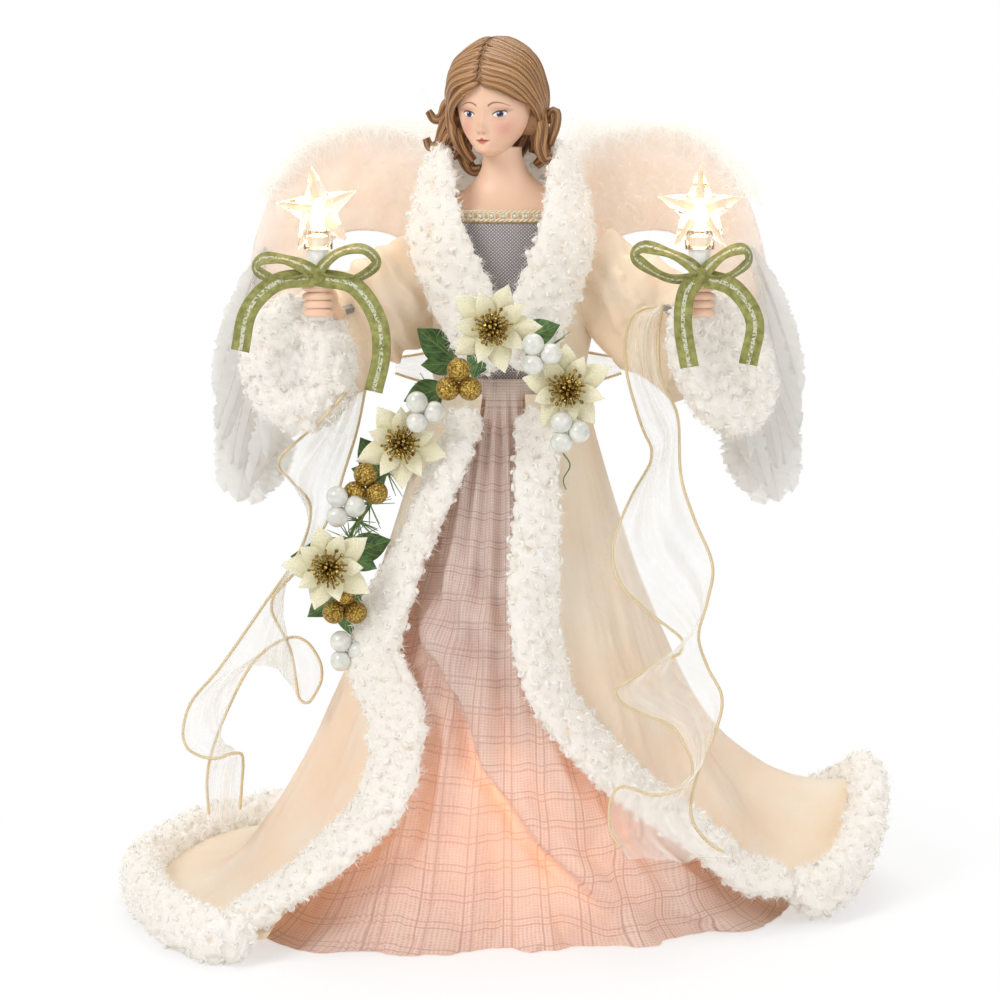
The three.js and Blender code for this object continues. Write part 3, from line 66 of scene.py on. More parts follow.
def ease(x, low, high):
    t = np.clip((x - low) / (high - low), 0, 1)
    return t * t * (3 - 2 * t)


def bell(x, middle, half):
    return np.exp(-(((x - middle) / half) ** 2))


def all_round(count):
    """`count` angles, evenly spaced once round."""
    return 2 * np.pi * np.arange(count) / count


def thrice(values):
    """One value for all three places of a mark."""
    return np.repeat(values[..., None], 3, -1)


def lumps(points, cell, seed=0.0, octaves=1):
    """Smooth noise from -1 to 1 at every point, with lumps about `cell` wide."""
    flat = np.asarray(points, float).reshape(-1, 3) / cell + seed * 17.3
    if octaves == 1:
        values = [noise.noise(p) for p in flat]
    else:
        values = [noise.fractal(p, 1.0, 2.1, octaves) for p in flat]
    return np.array(values).reshape(np.asarray(points).shape[:-1])


def knots(points, cell, seed=0.0):
    """Rounded woolly knots about `cell` wide, from 0 in the creases to 1 on top."""
    flat = np.asarray(points, float).reshape(-1, 3) / cell + seed * 17.3
    near = np.array([noise.voronoi(p)[0][0] for p in flat])
    return np.clip(1.1 - near * near * 1.2, 0, 1).reshape(np.asarray(points).shape[:-1])


def smooth(xs, ys, x):
    """Reads ys over xs along a smooth curve."""
    xs, ys, x = np.asarray(xs, float), np.asarray(ys, float), np.asarray(x, float)
    slope = np.gradient(ys, xs)
    i = np.clip(np.searchsorted(xs, x) - 1, 0, len(xs) - 2)
    h = xs[i + 1] - xs[i]
    t = np.clip((x - xs[i]) / h, 0, 1)
    start, end = (2 * t**3 - 3 * t**2 + 1) * ys[i], (3 * t**2 - 2 * t**3) * ys[i + 1]
    return start + end + (t**3 - 2 * t**2 + t) * h * slope[i] + (t**3 - t**2) * h * slope[i + 1]


def line(points, count, closed=False):
    """`count` evenly spaced points of a smooth line through the given ones."""
    p = np.array(points, float)
    q = np.vstack([p[-1:], p, p[:2]]) if closed else np.vstack([2 * p[0] - p[1], p, 2 * p[-1] - p[-2]])
    t = np.linspace(0, 1, 24, endpoint=False)[:, None]
    runs = []
    for a, b, c, d in zip(q[:-3], q[1:-2], q[2:-1], q[3:]):
        runs.append(0.5 * (2 * b + (c - a) * t + (2 * a - 5 * b + 4 * c - d) * t**2 + (3 * b - a - 3 * c + d) * t**3))
    fine = np.vstack(runs + [q[-2][None]])
    reach = np.r_[0, np.cumsum(np.linalg.norm(np.diff(fine, axis=0), axis=1))]
    at = np.linspace(0, reach[-1], count, endpoint=not closed)
    return np.stack([np.interp(at, reach, fine[:, k]) for k in range(3)], axis=1)


def headings_of(path, out, closed=False):
    """Tangent, outward and across directions along a line of points."""
    along = np.roll(path, -1, 0) - np.roll(path, 1, 0) if closed else np.gradient(path, axis=0)
    along = unit(along)
    out = np.broadcast_to(np.asarray(out, float), path.shape)
    out = unit(out - along * np.sum(out * along, 1, keepdims=True))
    return along, out, np.cross(along, out)


def band(path, out, wide, thick, sides, closed=False, section=None):
    """Rings of an oval (or of a section of [across, out] shares) swept along a line."""
    _, out, across = headings_of(path, out, closed)
    wide = np.broadcast_to(wide, len(path))[:, None, None]
    thick = np.broadcast_to(thick, len(path))[:, None, None]
    if section is None:
        turn = all_round(sides)
        section = np.stack([np.cos(turn), np.sin(turn)], 1)
    section = np.asarray(section)
    return path[:, None] + wide * section[None, :, :1] * across[:, None] + thick * section[None, :, 1:] * out[:, None]


def tube_faces(rows, sides, closed=False):
    """Quads round a swept band."""
    i = np.arange(rows if closed else rows - 1)[:, None]
    j = np.arange(sides)[None]
    at = lambda a, b: (a % rows) * sides + b % sides
    return np.stack([at(i, j), at(i, j + 1), at(i + 1, j + 1), at(i + 1, j)], -1).reshape(-1, 4).tolist()


def tube(rings, closed=False):
    """Points and faces of a swept band; each open end is closed with a fan round its middle."""
    rows, sides = rings.shape[:2]
    points = rings.reshape(-1, 3)
    faces = tube_faces(rows, sides, closed)
    if not closed:
        middle, last = rows * sides, (rows - 1) * sides
        faces += [[middle, (j + 1) % sides, j] for j in range(sides)]
        faces += [[middle + 1, last + j, last + (j + 1) % sides] for j in range(sides)]
        points = np.vstack([points, rings[0].mean(0), rings[-1].mean(0)])
    return points, faces


def join_shapes(shapes):
    points, faces, n = [], [], 0
    for p, f in shapes:
        points.append(p)
        faces += [[k + n for k in face] for face in f]
        n += len(p)
    return np.vstack(points), faces


def sheet_faces(rows, cols, closed=False):
    i = np.arange(rows if closed else rows - 1)[:, None]
    j = np.arange(cols - 1)[None]
    at = lambda a, b: (a % rows) * cols + b
    return np.stack([at(i, j), at(i, j + 1), at(i + 1, j + 1), at(i + 1, j)], -1).reshape(-1, 4).tolist()


def ball(centre, r, across=16, high=10, squash=(1, 1, 1)):
    lat = np.pi * (np.arange(1, high) / high - 0.5)
    lon = all_round(across)
    level, up = np.cos(lat)[:, None], np.sin(lat)[:, None]
    rings = np.stack([level * np.cos(lon), level * np.sin(lon), up + 0 * lon], -1)
    points, faces = tube(rings)
    points[-2], points[-1] = (0, 0, -1), (0, 0, 1)
    return points * r * np.array(squash) + centre, faces


# Pieces
def placed(name, data):
    """A new object of the scene, at the origin."""
    obj = bpy.data.objects.new(name, data)
    bpy.context.scene.collection.objects.link(obj)
    return obj


def mesh_of(name, points, faces, marks=None):
    """A mesh from millimetres. `marks` are values at its points: name -> (n, 3), or (n, 4) for a colour."""
    mesh = bpy.data.meshes.new(name)
    mesh.from_pydata((np.asarray(points) * MM).tolist(), [], faces)
    mesh.validate()
    for label, values in (marks or {}).items():
        values = np.asarray(values, float)
        kind, field = ("FLOAT_COLOR", "color") if values.shape[1] == 4 else ("FLOAT_VECTOR", "vector")
        layer = mesh.attributes.new(label, kind, "POINT")
        layer.data.foreach_set(field, values.reshape(-1).astype(np.float32))
    return mesh


def piece(name, points, faces, finish, body="angel", slot=None, stands_for=(), flat=False, marks=None):
    """A mesh piece in the shared frame."""
    mesh = mesh_of(name, points, faces, marks)
    mesh.materials.append(finish)
    mesh.polygons.foreach_set("use_smooth", [not flat] * len(mesh.polygons))
    return settle(placed(name, mesh), body, slot, stands_for)


def settle(obj, body="angel", slot=None, stands_for=()):
    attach(obj, body)
    if stands_for:
        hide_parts(*stands_for)
    return obj


def outward(obj):
    """Turns every face of a closed mesh outwards."""
    bm = bmesh.new()
    bm.from_mesh(obj.data)
    bmesh.ops.recalc_face_normals(bm, faces=bm.faces)
    bm.to_mesh(obj.data)
    bm.free()
    return obj


def baked(obj):
    """The mesh of an object as its modifiers leave it."""
    bpy.context.view_layer.update()
    return bpy.data.meshes.new_from_object(obj.evaluated_get(bpy.context.evaluated_depsgraph_get()))


# Colours and the making of finishes
def shade(r, g, b):
    """A colour as it is seen, 0 to 255, as linear light."""
    c = np.array([r, g, b]) / 255
    c = np.where(c <= 0.04045, c / 12.92, ((c + 0.055) / 1.055) ** 2.4)
    return (*c.tolist(), 1.0)


AS_COLOUR, AS_VECTOR, AS_NUMBER = 0, 1, 2


class Finish:
    """A procedural material in millimetres of the shared frame."""

    def __init__(self, name, colour, rough=0.6, **sockets):
        self.made = bpy.data.materials.new(name)
        self.made.use_nodes = True
        self.tree = self.made.node_tree
        self.bsdf = self.tree.nodes["Principled BSDF"]
        self.output = self.tree.nodes["Material Output"]
        self.height = None
        self.put("Base Color", colour).put("Roughness", rough)
        for label, value in sockets.items():
            self.put(label.replace("_", " "), value)

    def feed(self, socket, value):
        """Gives a socket a value of its own, or links it to another node's output."""
        if isinstance(value, bpy.types.NodeSocket):
            self.tree.links.new(value, socket)
        else:
            socket.default_value = value

    def put(self, label, value):
        self.feed(self.bsdf.inputs[label], value)
        return self

    def node(self, kind, _out=0, **inputs):
        """A node's output; an input is named, or numbered as in _0, and a node's own setting goes by its name."""
        n = self.tree.nodes.new(kind)
        for label, value in inputs.items():
            if hasattr(n, label) and label not in [s.name for s in n.inputs]:
                setattr(n, label, value)
            else:
                self.feed(n.inputs[int(label[1:])] if label[0] == "_" else n.inputs[label.replace("_", " ")], value)
        return n.outputs[_out]

    def place(self):
        """Object coordinates, in millimetres."""
        return self.node("ShaderNodeMapping", _0=self.node("ShaderNodeTexCoord", 3), _3=(1000, 1000, 1000))

    def gap_from(self, point):
        """How far a spot of the surface lies from a point, in metres."""
        spot = self.node("ShaderNodeTexCoord", 3)
        return self.node("ShaderNodeVectorMath", 1, operation="DISTANCE", _0=spot, _1=tuple(point))

    def mark(self, label, kind=AS_VECTOR):
        n = self.tree.nodes.new("ShaderNodeAttribute")
        n.attribute_name = label
        return n.outputs[kind]

    def parts(self, vector):
        """The three numbers of a vector."""
        n = self.tree.nodes.new("ShaderNodeSeparateXYZ")
        self.feed(n.inputs[0], vector)
        return n.outputs

    def noise(self, cell, detail=2.0, where=None):
        return self.node("ShaderNodeTexNoise", _0=where or self.place(), Scale=1 / cell, Detail=detail)

    def cells(self, cell):
        return self.node("ShaderNodeTexVoronoi", _0=self.place(), Scale=1 / cell)

    def math(self, operation, a, b=0.0):
        return self.node("ShaderNodeMath", operation=operation, _0=a, _1=b)

    def ramp(self, value, *stops):
        n = self.tree.nodes.new("ShaderNodeValToRGB")
        self.feed(n.inputs[0], value)
        for k, (at, colour) in enumerate(stops):
            e = n.color_ramp.elements[k] if k < 2 else n.color_ramp.elements.new(at)
            e.position, e.color = at, colour
        return n.outputs[0]

    def tint(self, value, *stops):
        """Colours the surface by a value, through a ramp."""
        return self.put("Base Color", self.ramp(value, *stops))

    def blend(self, factor, a, b):
        n = self.tree.nodes.new("ShaderNodeMix")
        n.data_type, n.blend_type, n.clamp_factor = "RGBA", "MIX", True
        for k, value in ((0, factor), (6, a), (7, b)):
            self.feed(n.inputs[k], value)
        return n.outputs[2]

    def relief(self, height, depth, strength=0.6):
        """Bump of `depth` millimetres; further ones lie on those before."""
        n = self.tree.nodes.new("ShaderNodeBump")
        for label, value in (("Strength", strength), ("Distance", depth * MM), ("Height", height)):
            self.feed(n.inputs[label], value)
        if self.height:
            self.feed(n.inputs["Normal"], self.height)
        self.height = n.outputs[0]
        return self.put("Normal", self.height)

    def glow(self, colour, strength):
        return self.put("Emission Color", colour).put("Emission Strength", strength)

    def mix_in(self, shader, share):
        """Mixes one more shader into what reaches the output."""
        both = self.tree.nodes.new("ShaderNodeMixShader")
        before = self.output.inputs[0].links[0].from_socket
        for socket, value in zip(both.inputs, (share, before, shader)):
            self.feed(socket, value)
        self.feed(self.output.inputs[0], both.outputs[0])
        return self

    def through(self, share, colour):
        """Lets light through."""
        return self.mix_in(self.node("ShaderNodeBsdfTranslucent", _0=colour), share)

    def clear(self, share):
        """Lets the eye through."""
        return self.mix_in(self.node("ShaderNodeBsdfTransparent"), share)


def painted(name, colour, rough=0.45, grain=0.15, cell=0.8, **more):
    """A plain moulded or painted finish with a fine grain."""
    f = Finish(name, colour, rough, **more)
    f.relief(f.noise(cell, 3), grain, 0.4)
    return f.made


def pile_finish(tip, hollow_shade):
    """Curly pile: warm painted shade in the hollows, white at the tips of the curls, and a faint painted glow all over.
    """
    f = Finish("curly_pile", tip, 0.85, Sheen_Weight=0.25, Sheen_Roughness=0.5)
    # painted shade: the low points of the knots and curls take the warm hollow colour
    tone = f.ramp(f.mark("depth", AS_NUMBER), (0.0, hollow_shade), (0.5, tip))
    f.put("Base Color", f.blend(f.math("MULTIPLY", f.noise(22, 2), 0.2), tone, shade(250, 234, 212)))
    f.relief(f.noise(0.7, 3), 0.4, 0.8)
    # painted light: the pile glows faintly in its tip colour, though it is no lamp
    return f.through(0.3, tip).glow(tip, 0.07).made


# Tufts laid over a surface
def scatter_tree():
    """Geometry nodes that stand tufts on a surface."""
    tree = bpy.data.node_groups.new("tufts_on_surface", "GeometryNodeTree")
    face = tree.interface
    face.new_socket("Geometry", in_out="OUTPUT", socket_type="NodeSocketGeometry")
    kinds = {
        "Geometry": "Geometry", "Tuft": "Object", "Finish": "Material", "Spacing": "Float", "Seed": "Int",
        "Smallest": "Float", "Largest": "Float", "Tilt": "Float",
    }
    names = {n: face.new_socket(n, in_out="INPUT", socket_type=f"NodeSocket{k}").identifier for n, k in kinds.items()}
    add = tree.nodes.new
    given, result = add("NodeGroupInput"), add("NodeGroupOutput")
    spots = add("GeometryNodeDistributePointsOnFaces")
    spots.distribute_method = "POISSON"
    spots.inputs["Density Max"].default_value = 4e6
    tuft, stand = add("GeometryNodeObjectInfo"), add("GeometryNodeInstanceOnPoints")
    turn, lean = add("FunctionNodeRotateRotation"), add("FunctionNodeEulerToRotation")
    turn.rotation_space = "LOCAL"
    spin, size = add("FunctionNodeRandomValue"), add("FunctionNodeRandomValue")
    spin.data_type = "FLOAT_VECTOR"
    low, high, back = add("ShaderNodeCombineXYZ"), add("ShaderNodeCombineXYZ"), add("ShaderNodeMath")
    back.operation = "MULTIPLY"
    back.inputs[1].default_value = -1
    high.inputs[2].default_value = 2 * math.pi
    real, soft = add("GeometryNodeRealizeInstances"), add("GeometryNodeSetShadeSmooth")
    coat = add("GeometryNodeSetMaterial")
    for source, out, target, to in (
        (given, "Geometry", spots, "Mesh"), (given, "Spacing", spots, "Distance Min"), (given, "Seed", spots, "Seed"),
        (given, "Tuft", tuft, "Object"), (given, "Tilt", back, 0), (back, 0, low, 0), (back, 0, low, 1),
        (given, "Tilt", high, 0), (given, "Tilt", high, 1), (low, 0, spin, 0), (high, 0, spin, 1),
        (given, "Seed", spin, "Seed"), (given, "Seed", size, "Seed"), (given, "Smallest", size, 2),
        (given, "Largest", size, 3), (spin, 0, lean, 0), (spots, "Rotation", turn, 0), (lean, 0, turn, 1),
        (spots, "Points", stand, "Points"), (tuft, "Geometry", stand, "Instance"), (turn, 0, stand, "Rotation"),
        (size, 1, stand, "Scale"), (stand, 0, real, 0), (real, 0, soft, 0), (soft, 0, coat, 0),
        (given, "Finish", coat, "Material"), (coat, 0, result, 0),
    ):
        tree.links.new(source.outputs[out], target.inputs[to])
    return tree, names


TUFTS, TUFT_INPUTS = scatter_tree()


def tuft_object(name, shape, marks=None):
    obj = placed(name, mesh_of(name, *shape, marks))
    obj.hide_render = True
    return obj


def grow_on(base, tuft, name, finish, spacing, seed, sizes, tilt, slot):
    """Stands tufts all over a piece and bakes them into one further piece."""
    step = base.modifiers.new("tufts", "NODES")
    step.node_group = TUFTS
    for label, value in {
        "Tuft": tuft, "Finish": finish, "Spacing": spacing * MM * 1, "Seed": seed,
        "Smallest": sizes[0], "Largest": sizes[1], "Tilt": tilt,
    }.items():
        step[TUFT_INPUTS[label]] = value
    mesh = baked(base)
    mesh.name = name
    base.modifiers.remove(step)
    return settle(placed(name, mesh), slot=slot)


# The dressed form, as the CAD has it
HALF_WIDTH, WAIST_Z, SHOULDER_Z, HEAD_Z = 164.0, 242.0, 318.0, 373.0
TORSO_WAIST, CHEST_WIDE, CHEST_DEEP, BUST_DEEP, TORSO_TOP = 29.6, 36.0, 22.5, 23.5, 300.0
COAT_WAIST, COAT_OUT, GOWN_REACH, GOWN_WAIST, GOWN_ROOM = 35.2, 5.1, 138, 31.5, 5.2
HAND_X, HAND_Y, HAND_Z = 85.5, -47.0, 286.0
CUFF_AT = {"left": vec(-95.5, -36, 256), "right": vec(97, -33, 256)}

# heading, reach share, arch share, flare
COAT_EDGE = np.array([
    [0, 0.66, 0, 1.5], [30, 0.68, 0, 1.5], [52, 0.76, 0.02, 1.6], [68, 0.85, 0.1, 1.8], [82, 0.94, 0.36, 2.2],
    [96, 1, 1, 2.6], [110, 0.97, 0.55, 2.6], [128, 0.86, 0.05, 2.3], [150, 0.74, 0, 2], [180, 0.7, 0, 1.9],
    [208, 0.78, 0, 2], [230, 0.92, 0, 2.2], [250, 0.96, 0.06, 2.3], [268, 1, 0, 2.3], [290, 0.99, 0, 2.2],
    [306, 1, 0, 2], [318, 0.96, 0, 1.8], [335, 0.8, 0, 1.6],
])
# heading, reach share, flare
GOWN_EDGE = np.array([
    [0, 0.7, 1.35], [25, 0.72, 1.35], [45, 0.8, 1.5], [62, 0.92, 1.7], [78, 0.98, 2], [95, 0.9, 2], [130, 0.76, 1.7],
    [180, 0.7, 1.5], [230, 0.76, 1.6], [280, 0.9, 1.8], [305, 0.98, 1.8], [320, 0.96, 1.6], [342, 0.76, 1.4],
])
RIGHT_EDGE = ([0, 0.1, 0.26, 0.36, 0.82, 1], [12, 13, 7, 9, 58, 66])
LEFT_EDGE = ([0, 0.26, 0.5, 0.86, 1], [-20, -48, -29, -45, -43])
# heading at the waist, at the hem, half width, depth share
GOWN_FOLDS = [
    (-6, 30, 11, 0.07), (-30, -16, 9, 0.05), (26, 58, 8, 0.04), (-44, -34, 7, -0.03), (150, 150, 14, 0.03),
    (210, 205, 14, 0.03), (-16, 4, 3.2, 0.022), (6, 44, 3.4, 0.024), (-38, -27, 3, 0.02), (16, 52, 3, -0.018),
]
COAT_FOLDS = [
    (286, 296, 9, 0.055), (262, 268, 8, -0.04), (240, 240, 10, 0.045), (214, 212, 10, -0.04), (190, 190, 12, 0.045),
    (165, 160, 12, -0.03), (140, 135, 11, 0.045), (60, 84, 8, 0.04), (275, 284, 3.5, 0.018), (299, 306, 3.5, -0.02),
    (252, 256, 4, 0.018), (48, 72, 3.5, 0.016), (72, 96, 4, -0.016), (110, 112, 5, 0.02), (176, 176, 5, 0.018),
]
# heading at the waist, at the hem, half width at each, depth in millimetres
PLEATS = [
    (-17, -24, 2.8, 5, 4.0), (-9.5, -9, 2.6, 6, 5.0), (-2, 8, 2.6, 5, 4.6), (4.5, 22, 2.4, 6, 3.6),
    (10, 38, 2.4, 7, 3.2), (-24, -38, 2.4, 5, 3.0),
]
# the upper layer's folded edge: height share, heading
FOLD_EDGE = ([0.2, 0.27, 0.37, 0.49, 0.57, 0.65, 0.73, 0.77, 1], [-56, -46, -27, -14.5, -8.5, 1.5, 10, 15.5, 34])


def round_table(table, heading, column):
    at = np.asarray(heading, float) % 360
    n = len(table)
    i = np.searchsorted(table[:, 0], at, side="right") - 1
    following = table[(i + 1) % n, 0] + np.where(i == n - 1, 360, 0)
    t = (at - table[i, 0]) / (following - table[i, 0])
    p0, p1, p2, p3 = (table[(i + k) % n, column] for k in (-1, 0, 1, 2))
    m1, m2 = (p2 - p0) / 2, (p3 - p1) / 2
    return (2 * t**3 - 3 * t**2 + 1) * p1 + (t**3 - 2 * t**2 + t) * m1 + (3 * t**2 - 2 * t**3) * p2 + (t**3 - t**2) * m2


def stepped(table, t):
    xs, ys = np.array(table[0], float), np.array(table[1], float)
    i = np.clip(np.searchsorted(xs, t), 1, len(xs) - 1)
    return mix(ys[i - 1], ys[i], ease(t, xs[i - 1], xs[i]))


def folds(table, heading, v):
    total = 0
    for top, hem, half, deep in table:
        off = ((heading - mix(top, hem, v)) % 360 + 540) % 360 - 180
        total = total + deep * np.exp(-((off / half) ** 2))
    return total


def ahead(heading, r, z):
    a = np.radians(heading)
    return np.stack([r * np.sin(a), -r * np.cos(a), z + 0 * a], -1)


def coat_at(heading, v):
    reach = HALF_WIDTH * round_table(COAT_EDGE, heading, 1)
    edge_z = 10 + 40 * np.maximum(0, round_table(COAT_EDGE, heading, 2))
    flare = round_table(COAT_EDGE, heading, 3)
    ripple = HALF_WIDTH * folds(COAT_FOLDS, heading, v) * v * (1 - v) * 2.4
    z = edge_z + (WAIST_Z - edge_z) * np.maximum(1 - v, 0) ** flare
    return ahead(heading, mix(COAT_WAIST, reach, v) + ripple, z)


def coat_span(v):
    return stepped(RIGHT_EDGE, v), 360 + stepped(LEFT_EDGE, v)


def coat_face(heading, v):
    dh = coat_at(heading + 0.05, v) - coat_at(heading - 0.05, v)
    dv = coat_at(heading, np.minimum(v + 1e-3, 1)) - coat_at(heading, np.maximum(v - 1e-3, 0))
    return unit(-np.cross(dh, dv))


def gown_at(heading, v):
    """Heading columns by height rows; where the coat covers it, the gown keeps inside it."""
    reach = GOWN_REACH * round_table(GOWN_EDGE, heading, 1)
    flare = round_table(GOWN_EDGE, heading, 2)
    ripple = GOWN_REACH * folds(GOWN_FOLDS, heading, v) * v**0.6 * (1 - 0.5 * v)
    z = WAIST_Z * (1 - v) ** flare
    r = mix(GOWN_WAIST, reach, v) + ripple
    low, high = coat_span(v)
    turn = heading % 360
    past = np.minimum(turn - low, high - turn)
    covered = ease(past, -6, 2)
    w = np.linspace(1, 0, 40)
    for k in range(heading.shape[0]):
        h = np.full(40, heading[k, 0])
        p = coat_at(h, w) - coat_face(h, w) * GOWN_ROOM
        room = np.interp(z[k], np.maximum.accumulate(p[:, 2]), np.hypot(p[:, 0], p[:, 1]))
        r[k] = mix(r[k], np.minimum(r[k], room), covered[k])
    return ahead(heading, np.maximum(r, GOWN_WAIST), z)


def body_row(z):
    t = np.clip((z - WAIST_Z) / (TORSO_TOP - WAIST_Z), 0, 1)
    eased = np.sin(t * np.pi / 2)
    return mix(TORSO_WAIST, CHEST_WIDE, eased), mix(TORSO_WAIST, BUST_DEEP, eased)


def wrapped(z, heading, out):
    wide, deep = body_row(z)
    a = np.radians(heading)
    return np.stack([(wide + out) * np.sin(a), -(deep + out) * np.cos(a), z + 0 * a], -1)


def clothes_tree():
    """The solids of the clothes, to find how far forward they stand."""
    points, faces = [], []
    for name in (
        "collar_trim", "front_trim_left", "front_trim_right", "coat_skirt", "gown_skirt", "bodice", "coat_top",
        "sleeve_left", "sleeve_right", "cuff_left", "cuff_right", "hem_trim",
    ):
        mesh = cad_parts[name].data
        n = len(points)
        points += [v.co[:] for v in mesh.vertices]
        faces += [[n + k for k in p.vertices] for p in mesh.polygons]
    return BVHTree.FromPolygons(points, faces)


CLOTHES_TREE = clothes_tree()


def in_front(x, z, default=-60.0):
    """How far forward the clothes stand at (x, z), as a y in millimetres."""
    hit = CLOTHES_TREE.ray_cast(Vector((x * MM, -0.4, z * MM)), Vector((0, 1, 0)))[0]
    return hit.y / MM if hit else default


# Finishes of the pieces
# white tips, and a warm tan that is painted shade in the hollows
pile = pile_finish(shade(254, 252, 248), shade(232, 202, 166))

fleece_f = Finish("coat_fleece", shade(250, 236, 214), 0.9, Sheen_Weight=0.3, Sheen_Roughness=0.4)
fleece_f.tint(fleece_f.noise(30, 3), (0.3, shade(254, 235, 207)), (0.65, shade(255, 246, 227)))
fleece_f.relief(fleece_f.noise(3.2, 4), 0.9, 0.6).relief(fleece_f.noise(0.6, 3), 0.3, 0.6)
fleece = fleece_f.through(0.25, shade(252, 218, 180)).made


def weave_lines(f, where, pitch, width):
    """Paired threads at each pitch, from 0 between them to 1 on them, for one coordinate in millimetres."""
    pair = [
        f.math("LESS_THAN", f.math("PINGPONG", f.math("ADD", where, shift), pitch / 2), width)
        for shift in (0.0, 3.0)
    ]
    return f.math("MAXIMUM", *pair)


MINI_LIGHTS = sorted(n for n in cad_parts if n.startswith("mini_light_"))


def linen_finish():
    """Open linen: paired plaid threads, slubs, and painted light where the small lamps inside shine through it."""
    f = Finish("gown_linen", shade(212, 194, 188), 0.85)
    where = f.mark("weave")
    across, down, _ = f.parts(where)
    plaid = f.math("MAXIMUM", weave_lines(f, across, 13.0, 0.3), weave_lines(f, down, 13.0, 0.3))
    yarn = f.math("MULTIPLY", *(
        f.node(
            "ShaderNodeTexWave", 1, _0=where, Scale=0.24, Distortion=1.6, Detail=2.0, Detail_Scale=0.4,
            bands_direction=way
        )
        for way in "XY"
    ))
    slub = f.noise(1.0, 3, where=f.node("ShaderNodeMapping", _0=where, _3=(0.15, 2.0, 1.0)))
    base = f.ramp(f.noise(45, 2), (0.35, shade(232, 212, 202)), (0.65, shade(246, 230, 219)))
    for thread, share, tint in (
        (slub, 0.6, shade(248, 238, 230)), (yarn, 0.5, shade(188, 158, 150)), (plaid, 0.38, shade(138, 108, 104)),
    ):
        base = f.blend(f.math("MULTIPLY", thread, share), base, tint)
    f.put("Base Color", base)
    f.relief(yarn, 0.4, 0.8).relief(slub, 0.4, 0.7)
    # painted light: the cloth glows round each small lamp, less where it lies doubled
    glow = None
    for name in MINI_LIGHTS:
        low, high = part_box(name)
        gap = f.gap_from((low + high) / 2 + Vector((0, 0, 0.006)))
        near = f.math("POWER", f.math("DIVIDE", 0.019, f.math("MAXIMUM", gap, 0.006)), 2.6)
        glow = near if glow is None else f.math("ADD", glow, near)
    thin = f.math("ADD", 0.55, f.math("MULTIPLY", yarn, 0.9))
    single = f.math("SUBTRACT", 1.0, f.math("MULTIPLY", f.mark("doubled", AS_NUMBER), 0.6))
    f.glow(shade(255, 158, 100), f.math("MULTIPLY", f.math("MULTIPLY", f.math("MULTIPLY", glow, thin), single), 0.5))
    return f.through(0.3, shade(240, 196, 170)).made


linen = linen_finish()


def skin_finish():
    f = Finish(
        "painted_skin", shade(236, 190, 158), 0.42, Subsurface_Weight=0.12, Coat_Weight=0.15, Coat_Roughness=0.35
    )
    f.put("Subsurface Radius", (0.004, 0.0016, 0.001)).put("Subsurface Scale", 1.0)
    f.put("Base Color", f.mark("paint", AS_COLOUR))
    f.relief(f.noise(1.2, 2), 0.05, 0.3)
    return f.made


skin_paint = skin_finish()
skin_plain = painted(
    "painted_skin_plain", shade(241, 202, 174), 0.42, 0.05, 1.2, Subsurface_Weight=0.1, Subsurface_Scale=0.003
)

hair_f = Finish("painted_hair", shade(140, 96, 56), 0.42, Coat_Weight=0.2, Coat_Roughness=0.3)
groove, round_lock, along_lock = hair_f.parts(hair_f.mark("strand"))
wander = hair_f.math("MULTIPLY", hair_f.noise(6, 2), 9.0)
fine = hair_f.math("SINE", hair_f.math("ADD", hair_f.math("MULTIPLY", round_lock, 17.0), wander))
darker = hair_f.math("SUBTRACT", hair_f.math("MULTIPLY", fine, 0.11), hair_f.math("MULTIPLY", along_lock, 0.2))
# painted shade in the grooves and painted highlight on the ridges; darker towards each lock's end
tone = hair_f.math("ADD", hair_f.math("MULTIPLY", groove, 0.8), darker)
hair_f.tint(tone, (0.0, shade(104, 66, 36)), (0.32, shade(170, 122, 76)), (0.95, shade(214, 170, 118)))
hair_f.relief(fine, 0.22, 0.7).relief(hair_f.noise(0.5, 3), 0.1, 0.4)
hair_paint = hair_f.made

bodice_f = Finish("bodice_weave", shade(160, 150, 156), 0.7)
checks = bodice_f.math("MULTIPLY", *(
    bodice_f.node("ShaderNodeTexWave", 1, _0=bodice_f.mark("weave"), Scale=0.26, Distortion=0.5, bands_direction=way)
    for way in "XY"
))
bodice_f.tint(checks, (0.05, shade(128, 120, 124)), (0.7, shade(222, 217, 215)))
bodice_f.relief(checks, 0.35, 0.8)
bodice_weave = bodice_f.made

gimp = painted("gimp_braid", shade(236, 222, 186), 0.5, 0.2, 0.5, Sheen_Weight=0.3)
cord_f = Finish("gold_cord", shade(228, 208, 168), 0.42, Metallic=0.45)
gold_cord = cord_f.relief(cord_f.noise(0.4, 2), 0.12, 0.6).made

organza_f = Finish("sheer_scarf", shade(250, 250, 246), 0.4, Sheen_Weight=0.5)
organza_f.tint(organza_f.noise(18, 2), (0.3, shade(240, 238, 230)), (0.7, shade(252, 252, 250)))
organza_f.through(0.4, shade(250, 248, 240))
facing = organza_f.node("ShaderNodeLayerWeight", 1, _0=0.35)
organza_f.clear(organza_f.math("SUBTRACT", 0.72, organza_f.math("MULTIPLY", facing, 0.45)))
organza = organza_f.made

down_f = Finish("white_down", shade(252, 252, 250), 0.8, Sheen_Weight=0.4)
# painted light: the down glows faintly, though it is no lamp
down = down_f.through(0.5, shade(254, 252, 250)).glow(shade(255, 252, 248), 0.14).made

feather_f = Finish("white_feather", shade(250, 250, 248), 0.6, Sheen_Weight=0.2)
barbs = feather_f.node(
    "ShaderNodeTexWave", 1, _0=feather_f.mark("barb"), Scale=0.5, Distortion=1.5, Detail=2.0, bands_direction="X"
)
feather_f.tint(barbs, (0.0, shade(216, 214, 210)), (0.5, shade(250, 250, 248)))
feather_f.relief(barbs, 0.2, 0.6)
# painted light: the feathers glow faintly, though they are no lamp
feather_white = feather_f.through(0.4, shade(252, 250, 246)).glow(shade(255, 252, 248), 0.06).made

